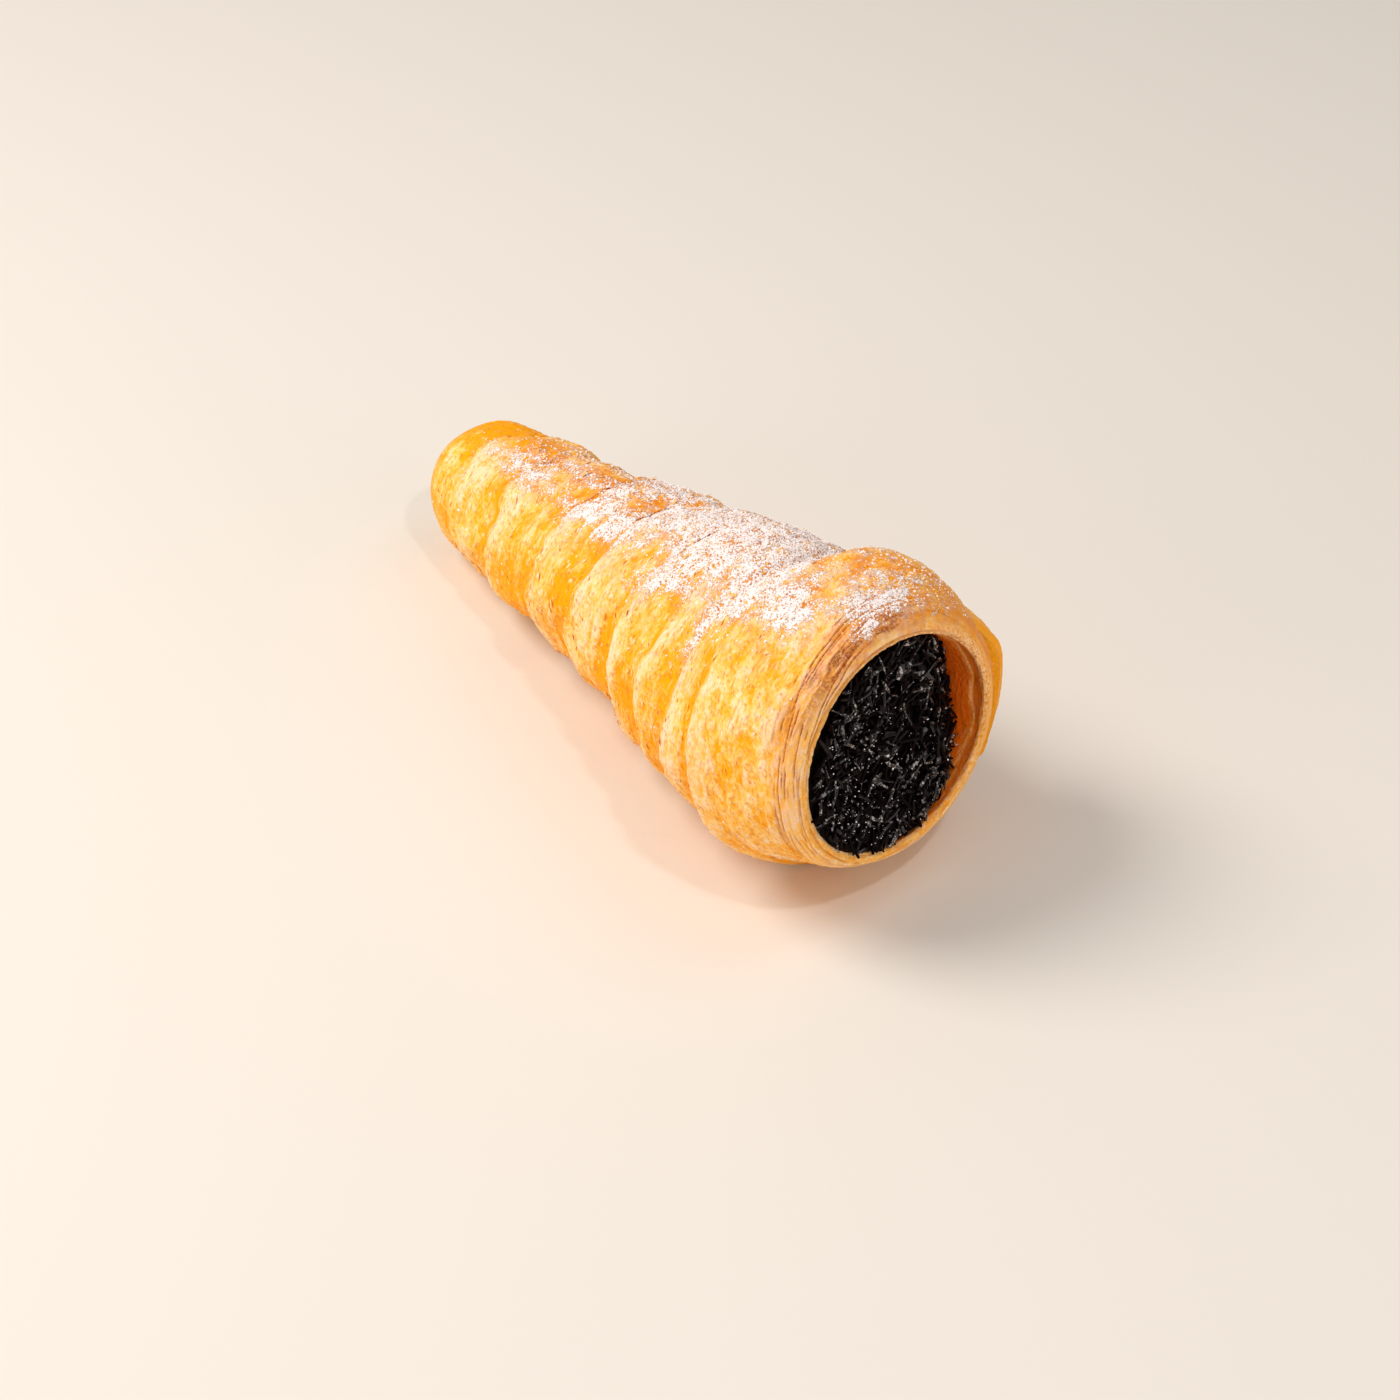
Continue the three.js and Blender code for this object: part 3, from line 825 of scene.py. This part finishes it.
def chocolate_strands(name, count, draw):
    """Strands laid over the filling's face, with flat chips among them."""
    share = 0.98 * draw.random(count) ** 0.45
    angle = draw.random(count) * 360
    heading = draw.random(count) * 2 * math.pi
    length = draw.uniform(2.4, 5.2, count)[:, None]
    reach = length[:, 0] / 2 / 20 * np.abs(np.cos(heading - np.radians(angle)))
    flush = hump_round(angle, 165, 1.6)
    share = np.minimum(share, 1.0 - reach + 0.08 * flush)
    here, side, up, out = face_frames(share * cosine(angle), share * sine(angle))
    tilt = draw.normal(0, 0.22, count)
    axis = (np.cos(heading)[:, None] * side + np.sin(heading)[:, None] * up) * np.cos(tilt)[:, None]
    axis = axis + out * np.sin(tilt)[:, None]
    flank = unit(np.cross(out, axis))
    thick = draw.uniform(0.3, 0.8, count)[:, None]
    chip = (draw.random(count) < 0.2)[:, None]
    roll = draw.normal(0, 0.6, count)[:, None] * chip
    lift = draw.uniform(0.1, 1.6, count) * (1 - 0.45 * share ** 4 * (1 - flush))
    lift = np.maximum(lift, 1.3 * flush * smooth(share + reach, 0.96, 1))
    centre = here + out * lift[:, None]
    upright = np.cross(axis, flank)
    flank, upright = (flank * np.cos(roll) + upright * np.sin(roll),
                      upright * np.cos(roll) - flank * np.sin(roll))
    turns = np.stack([axis * length * np.where(chip, 0.6, 1),
                      flank * thick * np.where(chip, 1.9, 1),
                      upright * thick * np.where(chip, 0.35, 1)], axis=1)
    shapes = [strand_shape(bend) for bend in (0.0, 0.12, -0.2, 0.3)]
    chosen = np.sort(draw.integers(0, len(shapes), count))
    piece = copies(name, shapes, chosen, turns, centre, {"glint": draw.random(count)})
    piece.data.set_sharp_from_angle(angle=math.radians(60))
    return piece


# ---- Sugar, flakes and crumbs ----------------------------------------------

def crust_point(along, angle):
    """A point on the crust with its fine relief."""
    radius = strip_radius(along, angle)[0]
    rim = (wound_radius(along, angle) + lip_outside(along, angle)
           + rim_relief(lip_distance(along), angle)[0])
    return place(along, mix(radius, rim, smooth(along, *TO_RIM)), angle)


def crust_frames(along, angle):
    return frames_on(lambda a, s: crust_point(s, a), angle, along, (0.4, -0.3))


DRAWS = 14                       # for each place that is chosen


def chosen_places(weight_at, count, spans, draw):
    """Random places on the horn, more of them where the weight is high."""
    along = draw.uniform(*spans[0], count * DRAWS)
    angle = draw.uniform(*spans[1], count * DRAWS)
    weight = weight_at(along, angle) * crest_radius(along, angle) / 30
    kept = np.flatnonzero(draw.random(len(along)) < weight / weight.max())[:count]
    return along[kept], angle[kept]


def lump_shape(seed, roughness):
    """An uneven little ball of sugar or crumb."""
    shape = bmesh.new()
    bmesh.ops.create_icosphere(shape, subdivisions=1, radius=0.5)
    corners, triangles = arrays_of(shape)
    draw = np.random.default_rng(seed)
    return corners * draw.uniform(1 - roughness, 1 + roughness, (len(corners), 1)), triangles


def random_turns(count, draw):
    """Random orientations, as rows of unit axes."""
    first = unit(draw.normal(size=(count, 3)))
    second = unit(np.cross(first, draw.normal(size=(count, 3))))
    return np.stack([first, second, np.cross(first, second)], axis=1)


def flake_shape(seed):
    """A thin, curled flake, 1 long and 1 wide, that tapers to ragged ends."""
    shape = bmesh.new()
    bmesh.ops.create_grid(shape, x_segments=6, y_segments=2, size=0.5)
    bmesh.ops.solidify(shape, geom=shape.faces[:], thickness=0.12)
    corners, triangles = arrays_of(shape)
    draw = np.random.default_rng(seed)
    x = corners[:, 0]
    narrow = 1 - 0.75 * np.abs(2 * x) ** 2.2 + 0.16 * noise(x * 7 + seed, corners[:, 1], seed)
    corners[:, 1] *= narrow
    lift = draw.uniform(0.05, 0.35) * (2 * x) ** 2 * np.where(x > 0, 1, draw.uniform(0, 0.6))
    corners[:, 2] += lift - 0.5 * draw.uniform(0.1, 0.5) * (2 * corners[:, 1]) ** 2
    return corners, triangles


def pastry_flakes(name, count, draw):
    """Loose flakes that still cling to the crust."""
    along, angle = chosen_places(
        lambda s, a: (0.3 + hump_round(a, 165, 1)) * band(s, 4, 20, 126, 140),
        count, ((4, 140), (-20, 235)), draw)
    here, side, up, out = crust_frames(along, angle)
    heading = draw.normal(0, 0.35, len(along))[:, None]
    axis = side * np.cos(heading) + up * np.sin(heading)
    flank = np.cross(out, axis)
    length = draw.lognormal(math.log(0.95), 0.42, len(along)).clip(0.4, 2.3)[:, None]
    width = length * draw.uniform(0.3, 0.65, (len(along), 1))
    thick = draw.uniform(0.1, 0.35, (len(along), 1))
    turns = np.stack([axis * length, flank * width, out * thick], axis=1)
    shapes = [flake_shape(seed) for seed in range(8)]
    chosen = np.sort(draw.integers(0, len(shapes), len(along)))
    tone, shade = draw.uniform(0.4, 0.85, len(along)), draw.random(len(along)) ** 3
    none = 0 * tone
    grain = np.stack([strip_length(angle / -360.0), none, along], axis=1)
    return copies(name, shapes, chosen, turns, here + out * 0.05, {
        "tone": tone, "bake": 0.4 * shade, "edge": none, "crease": none, "lip": none,
        "painted_shade": none, "sugar": 0.35 * sugar_at(along, angle), "grain": grain})


FALLEN_GRAINS = 240              # of sugar that fell on the filling


def sugar_grains(name, count, draw):
    along, angle = chosen_places(lambda s, a: sugar_at(s, a) ** 1.3 + 0.002, count,
                                 ((8, 142), (-10, 215)), draw)
    here, _, _, out = crust_frames(along, angle)
    across = draw.normal((-0.35, -0.3), 0.5, (FALLEN_GRAINS * 3, 2))
    across = across[np.hypot(*across.T) < 0.93][:FALLEN_GRAINS]
    fallen, _, _, fallen_out = face_frames(*across.T)
    fallen = fallen + fallen_out * draw.uniform(1.0, 1.9, (len(fallen), 1))
    here, out = np.concatenate([here, fallen]), np.concatenate([out, fallen_out])
    size = draw.lognormal(math.log(0.3), 0.33, len(here)).clip(0.16, 0.75)[:, None, None]
    size[len(along):] *= draw.uniform(0.3, 0.75, (len(fallen), 1, 1))
    turns = random_turns(len(here), draw) * size
    centre = here + out * size[:, :, 0] * draw.uniform(-0.1, 0.45, (len(here), 1))
    shapes = [lump_shape(seed, 0.3) for seed in range(6)]
    return copies(name, shapes, draw.integers(0, len(shapes), len(here)), turns, centre)


# ---- Materials -------------------------------------------------------------

class Tree:
    """Adds nodes to a material or a group, left to right."""

    def __init__(self, owner):
        self.nodes, self.links = owner.nodes, owner.links

    def add(self, kind, inputs=None, **settings):
        made = self.nodes.new(kind)
        made.location.x = 180 * len(self.nodes)
        for setting, value in settings.items():
            setattr(made, setting, value)
        self.fill(made, inputs or {})
        return made

    def fill(self, node, inputs):
        for name, value in inputs.items():
            socket = node.inputs[name]
            if isinstance(value, bpy.types.NodeSocket):
                self.links.new(value, socket)
            elif socket.type == "RGBA":
                socket.default_value = rgba(value)
            else:
                socket.default_value = value

    def math(self, operation, a, b, c=0.0):
        return self.add("ShaderNodeMath", {0: a, 1: b, 2: c}, operation=operation).outputs[0]

    def times(self, a, b):
        return self.math("MULTIPLY", a, b)

    def plus(self, total, *terms):
        for value, factor in terms:
            total = self.math("MULTIPLY_ADD", value, factor, total)
        return total

    def remap(self, value, low, high, to_low=0.0, to_high=1.0):
        return self.add("ShaderNodeMapRange", {
            "Value": value, "From Min": low, "From Max": high, "To Min": to_low,
            "To Max": to_high}, interpolation_type="SMOOTHSTEP").outputs[0]

    def blend(self, share, a, b):
        return self.add("ShaderNodeMix", {0: share, 6: a, 7: b}, data_type="RGBA").outputs[2]

    def stretched(self, vector, scale):
        return self.add("ShaderNodeMapping", {"Vector": vector, "Scale": scale}).outputs[0]

    def noise(self, vector, scale, detail, roughness):
        return self.add("ShaderNodeTexNoise", {"Vector": vector, "Scale": scale,
                                               "Detail": detail, "Roughness": roughness}).outputs[0]

    def bump(self, height, strength, distance, **inputs):
        return self.add("ShaderNodeBump", {"Height": height, "Strength": strength,
                                           "Distance": distance, **inputs}).outputs[0]

    def surface(self):
        """Places on the piece, in metres."""
        return self.add("ShaderNodeTexCoord").outputs["Object"]

    def mark(self, name, output="Fac"):
        return self.add("ShaderNodeAttribute", attribute_name=name).outputs[output]

    def ramp(self, value, *stops):
        made = self.add("ShaderNodeValToRGB", {"Fac": value})
        elements = made.color_ramp.elements
        while len(elements) < len(stops):
            elements.new(0.5)
        for element, (position, colour) in zip(elements, stops):
            element.position, element.color = position, rgba(colour)
        return made.outputs[0]


def rgba(colour):
    return (*colour, 1.0)


def srgb(*values):
    """A colour given as it looks on screen, from 0 to 255, for a shader."""
    return tuple(((v / 255 + 0.055) / 1.055) ** 2.4 if v > 10 else v / 3294.6 for v in values)


def new_group(name, given, kind, *results):
    """A node group with one input and some results, which are numbers. Returns
    it with its tree, the input's socket and the node that takes the results."""
    group = bpy.data.node_groups.new(name, "ShaderNodeTree")
    group.interface.new_socket(given, in_out="INPUT", socket_type=kind)
    for result in results:
        group.interface.new_socket(result, in_out="OUTPUT", socket_type="NodeSocketFloat")
    tree = Tree(group)
    return group, tree, tree.add("NodeGroupInput").outputs[0], tree.add("NodeGroupOutput")


def sugar_group():
    """Powdered sugar: grains where the density is higher than the noise."""
    group, tree, density, result = new_group(
        "Sugar dusting", "Density", "NodeSocketFloat", "Cover", "Height")
    surface = tree.surface()
    clumps = tree.noise(surface, 620.0, 2.0, 0.6)
    grains = tree.noise(surface, 2600.0, 1.0, 0.6)
    pattern = tree.plus(tree.times(clumps, 0.35), (grains, 0.65))
    gate = tree.plus(0.25, (density, 0.31))
    cover = tree.remap(tree.math("SUBTRACT", gate, pattern), -0.03, 0.03)
    veil = tree.times(density, tree.remap(clumps, 0.35, 0.6, 0.22, 0.0))
    cover = tree.math("MAXIMUM", cover, veil)
    tree.fill(result, {"Cover": cover,
                       "Height": tree.times(cover, tree.math("ADD", grains, 0.4))})
    return group


def grain_group():
    """Fibres and fine flakes that run along the strip."""
    group, tree, grain, result = new_group(
        "Pastry grain", "Grain", "NodeSocketVector", "Fibre", "Flake", "Specks", "Height")
    fibre = tree.noise(tree.stretched(grain, (0.5, 0.5, 1.6)), 1.0, 5.0, 0.66)
    specks = tree.noise(tree.surface(), 1300.0, 4.0, 0.7)
    bend = tree.add("ShaderNodeTexNoise", {"Vector": grain, "Scale": 0.8, "Detail": 2.0})
    bent = tree.add("ShaderNodeVectorMath", {0: bend.outputs["Color"], 1: (2.2, 2.2, 1.4),
                                             2: grain}, operation="MULTIPLY_ADD").outputs[0]
    cells = tree.add("ShaderNodeTexVoronoi", {
        "Vector": tree.stretched(bent, (0.6, 0.6, 1.5)), "Scale": 1.0}).outputs
    level = tree.add("ShaderNodeSeparateColor", {"Color": cells["Color"]}).outputs[0]
    flake = tree.times(level, tree.remap(cells["Distance"], 0.1, 0.75, 1, 0))
    height = tree.plus(tree.times(specks, 0.3), (fibre, 0.5), (flake, 0.5))
    tree.fill(result, {"Fibre": fibre, "Flake": flake, "Specks": specks, "Height": height})
    return group


def made_material(name, surface_of):
    """The material of a name. Where it isn't there yet, it is made with what the
    function gives for its shader."""
    if name not in bpy.data.materials:
        material = bpy.data.materials.new(name)
        material.use_nodes = True
        material.node_tree.nodes.clear()
        tree = Tree(material.node_tree)
        shader = tree.add("ShaderNodeBsdfPrincipled")
        tree.add("ShaderNodeOutputMaterial", {"Surface": shader.outputs[0]})
        tree.fill(shader, surface_of(tree))
    return bpy.data.materials[name]


def baked_pastry(tree):
    look = bpy.context.scene.cream_horn_crust
    grain = tree.add("ShaderNodeGroup", {"Grain": tree.mark("grain", "Vector")},
                     node_tree=grain_group()).outputs
    specks = grain["Specks"]
    surface = tree.surface()
    blotch = tree.noise(surface, 380.0, 3.0, 0.6)
    crumbs = tree.noise(surface, 1900.0, 3.0, 0.7)
    tone = tree.plus(tree.mark("tone"), (grain["Fibre"], 0.9), (grain["Flake"], 0.4), (specks, 1.5))
    tone = tree.plus(tree.math("SUBTRACT", tone, 1.56), (blotch, 0.6))
    base = tree.ramp(tone, (0.08, look.amber), (0.38, look.golden), (0.62, look.pale),
                     (0.92, look.cream))
    crumb_colour = tree.ramp(crumbs, (0.38, look.rust), (0.47, look.tan), (0.6, look.cream))
    # Each is laid over the ones before it, by a mark and where a pattern is high.
    for mark, pattern, colour in (
            ("bake", tree.remap(specks, 0.35, 0.65, 0.3, 0.75), look.baked),
            ("lip", 0.85, crumb_colour),
            # Painted shade: a dark amber laid by its mark inside the mouth and behind the lip.
            ("painted_shade", tree.remap(grain["Fibre"], 0.3, 0.7, 1, 0.88), look.painted_shade),
            ("edge", tree.remap(specks, 0.38, 0.6, 0.4, 0.9), look.baked),
            ("crease", tree.remap(crumbs, 0.42, 0.54, 0.35, 1), look.crease),
            ("sugar", tree.remap(crumbs, 0.5, 0.6, 0.1, 0.9), look.rust)):
        base = tree.blend(tree.times(tree.mark(mark), pattern), base, colour)
    sugar = tree.add("ShaderNodeGroup", {"Density": tree.mark("sugar")},
                     node_tree=sugar_group()).outputs
    height = tree.plus(grain["Height"], (tree.times(crumbs, tree.mark("lip")), 0.9))
    fine = tree.bump(height, 0.75, 0.00035)
    return {
        "Base Color": tree.blend(sugar["Cover"], base, look.sugar),
        "Roughness": tree.math("MAXIMUM", tree.remap(tone, 0.2, 0.8, 0.42, 0.66),
                               tree.times(sugar["Cover"], 0.95)),
        "Normal": tree.bump(sugar["Height"], 0.9, 0.00035, Normal=fine),
        "Specular IOR Level": 0.3,
        "IOR": 1.2,
    }


def loose_sugar(tree):
    return {"Base Color": bpy.context.scene.cream_horn_crust.sugar, "Roughness": 0.75}


def dark_chocolate(tree):
    look = bpy.context.scene.cream_horn_filling
    bloom_and_painted_glints = tree.noise(tree.surface(), 1500.0, 2.0, 0.6)
    glint = tree.mark("glint")
    # Pale specks on the glinting strands: partly bloom and sugar dust, partly painted glints.
    pale = tree.times(tree.remap(bloom_and_painted_glints, 0.55, 0.63), tree.remap(glint, 0.6, 0.9, 0, 0.9))
    return {
        "Base Color": tree.blend(pale, look.chocolate, look.bloom_and_painted_glints),
        "Roughness": tree.remap(bloom_and_painted_glints, 0.3, 0.7, 0.28, 0.5),
        "Coat Weight": tree.remap(glint, 0.5, 0.9),
        "Coat Roughness": 0.12,
        "Specular IOR Level": 0.04,
        "Normal": tree.bump(bloom_and_painted_glints, 0.6, 0.0001),
    }


def plain_floor(tree):
    return {"Base Color": bpy.context.scene.cream_horn_stage.floor_colour, "Roughness": 0.7}


# ---- Properties ------------------------------------------------------------

def colour_property(name, description, default):
    return FloatVectorProperty(name=name, description=description, subtype="COLOR",
                               size=3, min=0, max=1, default=default)


class CreamHornCrust(bpy.types.PropertyGroup):
    # Amber: partly the pastry's own colour, partly painted shade in the hollows and on the far side.
    amber: colour_property("Amber", "Hollows: browned butter and painted shade", srgb(255, 166, 0))
    golden: colour_property("Golden", "Most of the crust", srgb(255, 189, 84))
    pale: colour_property("Pale", "Raised flakes", srgb(255, 204, 124))
    cream: colour_property("Cream", "The palest flakes", srgb(255, 216, 172))
    baked: colour_property("Baked", "Browned spots and rims", srgb(220, 116, 30))
    # Painted shade: the dark amber that stands for shade inside the mouth and behind the lip.
    painted_shade: colour_property("Deep", "Painted shade inside the mouth and behind the lip", srgb(222, 86, 4))
    tan: colour_property("Tan", "Plain dough at the lip", srgb(248, 178, 104))
    rust: colour_property("Rust", "The darkest crumbs at the lip", srgb(198, 102, 44))
    crease: colour_property("Crease", "Between the turns and layers", srgb(130, 54, 14))
    sugar: colour_property("Sugar", "Powdered sugar", srgb(252, 240, 237))


class CreamHornFilling(bpy.types.PropertyGroup):
    chocolate: colour_property("Chocolate", "Dark chocolate", srgb(12, 3, 3))
    # Paler specks: partly bloom and sugar dust, partly painted glints on the strands.
    bloom_and_painted_glints: colour_property("Bloom", "Paler specks: bloom and painted glints", srgb(196, 184, 180))
    strands: IntProperty(name="Strands", description="Number of chocolate strands",
                         default=1150, min=0)
    seed: IntProperty(name="Seed", description="Changes how they lie", default=4)


class CreamHornDusting(bpy.types.PropertyGroup):
    flakes: IntProperty(name="Flakes", description="Number of loose flakes of pastry",
                        default=2300, min=0)
    grains: IntProperty(name="Sugar grains", description="Number of clumps of sugar",
                        default=9300, min=0, max=9500)
    seed: IntProperty(name="Seed", description="Changes where they lie", default=7)


class CreamHornStage(bpy.types.PropertyGroup):
    floor_colour: colour_property("Floor", "The plain floor", srgb(228, 220, 211))
    distance: FloatProperty(name="Camera distance", description="From the aim point",
                            default=0.724, min=0.2, unit="LENGTH")
    lens: FloatProperty(name="Lens", description="Focal length in mm", default=100.8,
                        min=10, unit="CAMERA")
    key_power: FloatProperty(name="Key light", description="Power of the large light",
                             default=6.0, min=0, unit="POWER")


# ---- Operators -------------------------------------------------------------

def dress(pieces, material, slot, *nodes):
    """What every finished piece gets and says to the frame."""
    for piece in pieces:
        piece.data.materials.append(material)
        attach(piece, "root")
        if nodes:
            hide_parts(*nodes)
    return {"FINISHED"}


PASTRY = "Baked puff pastry"


class CREAMHORN_OT_crust(bpy.types.Operator):
    """Build the wound crust with its flaky turns, the rim and the lip"""
    bl_idname = "creamhorn.crust"
    bl_label = "Wound Crust"

    def execute(self, context):
        sections = (
            crust_section("crust_tip", -1.15, 3, rows_per_turn=58, columns=250, with_tip=True),
            crust_section("crust_middle", 3, LAST_TURN, rows_per_turn=54, columns=330),
            mouth_section("crust_mouth", columns=500),
            outer_layer("crust_outer_layer"))
        return dress(sections, made_material(PASTRY, baked_pastry), "pastry", "pastry_shell")


class CREAMHORN_OT_filling(bpy.types.Operator):
    """Build the chocolate filling and the strands that cover its face"""
    bl_idname = "creamhorn.filling"
    bl_label = "Chocolate Filling"

    def execute(self, context):
        look = context.scene.cream_horn_filling
        pieces = (filling_core("filling_core"),
                  chocolate_strands("chocolate_strands", look.strands,
                                    np.random.default_rng(look.seed)))
        material = made_material("Dark chocolate", dark_chocolate)
        return dress(pieces, material, "chocolate", "chocolate_filling")


class CREAMHORN_OT_flakes(bpy.types.Operator):
    """Scatter loose flakes of pastry over the crust"""
    bl_idname = "creamhorn.flakes"
    bl_label = "Pastry Flakes"

    def execute(self, context):
        look = context.scene.cream_horn_dusting
        flakes = pastry_flakes("pastry_flakes", look.flakes, np.random.default_rng(look.seed + 1))
        return dress([flakes], made_material(PASTRY, baked_pastry), "pastry")


class CREAMHORN_OT_sugar(bpy.types.Operator):
    """Dust the crust with clumps of powdered sugar"""
    bl_idname = "creamhorn.sugar"
    bl_label = "Powdered Sugar"

    def execute(self, context):
        look = context.scene.cream_horn_dusting
        grains = sugar_grains("powdered_sugar", look.grains, np.random.default_rng(look.seed))
        return dress([grains], made_material("Powdered sugar grains", loose_sugar), "sugar")


class CREAMHORN_OT_stage(bpy.types.Operator):
    """Build the floor, the lights and the camera"""
    bl_idname = "creamhorn.stage"
    bl_label = "Stage"

    def execute(self, context):
        look = context.scene.cream_horn_stage
        build_floor()
        build_lights(look.key_power)
        build_camera(look)
        return {"FINISHED"}


# ---- Stage -----------------------------------------------------------------

AIM = Vector((-0.21, 4.625, 0.0)) * MM
VIEW_AZIMUTH, VIEW_ELEVATION = 57.24, 35.0
FRAME_SIZE = 1400                # pixels across the square picture
AIM_ABOVE_MIDDLE = 10            # pixels that the aim point lies above its middle


def view_direction(azimuth, elevation):
    """From the aim point towards a viewer, where azimuth 0 looks along +Y."""
    turn, rise = math.radians(azimuth), math.radians(elevation)
    return Vector((math.sin(turn) * math.cos(rise), -math.cos(turn) * math.cos(rise),
                   math.sin(rise)))


def look_at(thing, target):
    thing.rotation_euler = (target - thing.location).to_track_quat("-Z", "Y").to_euler()


def build_floor():
    shape = bmesh.new()
    bmesh.ops.create_grid(shape, x_segments=1, y_segments=1, size=3.0)
    mesh = bpy.data.meshes.new("floor")
    shape.to_mesh(mesh)
    shape.free()
    floor = linked("floor", mesh)
    mesh.materials.append(made_material("Plain floor", plain_floor))


# Name, azimuth, elevation, distance, size, share of the key light's power, colour.
LIGHTS = (
    ("key_light", -38, 50, 0.9, 0.5, 1.0, (1.0, 0.97, 0.92)),
    ("fill_light", 110, 30, 1.0, 0.8, 0.12, (1.0, 0.98, 0.96)),
    ("low_light", 5, 9, 0.9, 0.6, 0.4, (1.0, 0.96, 0.9)),
    ("top_light", 160, 62, 1.0, 0.5, 0.13, (1.0, 0.99, 0.97)),
    ("mouth_light", 100, 10, 1.0, 0.5, 0.23, (1.0, 0.96, 0.91)),
    ("sparkle_light", 84, 56, 0.8, 0.05, 0.15, (1.0, 1.0, 1.0)),
)


def build_lights(key_power):
    for name, azimuth, elevation, distance, size, share, colour in LIGHTS:
        data = bpy.data.lights.new(name, "AREA")
        data.shape, data.size, data.energy, data.color = "DISK", size, key_power * share, colour
        light = linked(name, data)
        light.location = AIM + view_direction(azimuth, elevation) * distance
        look_at(light, AIM)
    world = bpy.data.worlds.new("Soft white room")
    world.use_nodes = True
    background = world.node_tree.nodes["Background"]
    background.inputs["Color"].default_value = (1.0, 0.975, 0.945, 1)
    background.inputs["Strength"].default_value = 0.36
    bpy.context.scene.world = world
    bpy.context.scene.view_settings.view_transform = "Standard"


def build_camera(look):
    data = bpy.data.cameras.new("camera")
    data.lens, data.sensor_width = look.lens, 36
    data.shift_y = -AIM_ABOVE_MIDDLE / FRAME_SIZE
    data.clip_end = 10
    camera = linked("camera", data)
    camera.location = AIM + view_direction(VIEW_AZIMUTH, VIEW_ELEVATION) * look.distance
    look_at(camera, AIM)
    bpy.context.scene.camera = camera


# ---- Registration ----------------------------------------------------------

class CREAMHORN_PT_panel(bpy.types.Panel):
    """The pieces of the cream horn"""
    bl_idname = "CREAMHORN_PT_panel"
    bl_label = "Cream Horn"
    bl_space_type = "VIEW_3D"
    bl_region_type = "UI"
    bl_category = "Cream Horn"

    def draw(self, context):
        for operator in OPERATORS:
            self.layout.operator(operator.bl_idname)


OPERATORS = (CREAMHORN_OT_crust, CREAMHORN_OT_flakes, CREAMHORN_OT_filling,
             CREAMHORN_OT_sugar, CREAMHORN_OT_stage)
GROUPS = {"cream_horn_crust": CreamHornCrust, "cream_horn_filling": CreamHornFilling,
          "cream_horn_dusting": CreamHornDusting, "cream_horn_stage": CreamHornStage}


def register():
    for kind in (*GROUPS.values(), *OPERATORS, CREAMHORN_PT_panel):
        bpy.utils.register_class(kind)
    for name, group in GROUPS.items():
        setattr(bpy.types.Scene, name, PointerProperty(type=group))


def unregister():
    for name in GROUPS:
        delattr(bpy.types.Scene, name)
    for kind in (CREAMHORN_PT_panel, *reversed(OPERATORS), *GROUPS.values()):
        bpy.utils.unregister_class(kind)


def main():
    register()
    for operator in OPERATORS:
        family, action = operator.bl_idname.split(".")
        getattr(getattr(bpy.ops, family), action)()


if __name__ == "__main__":
    main()
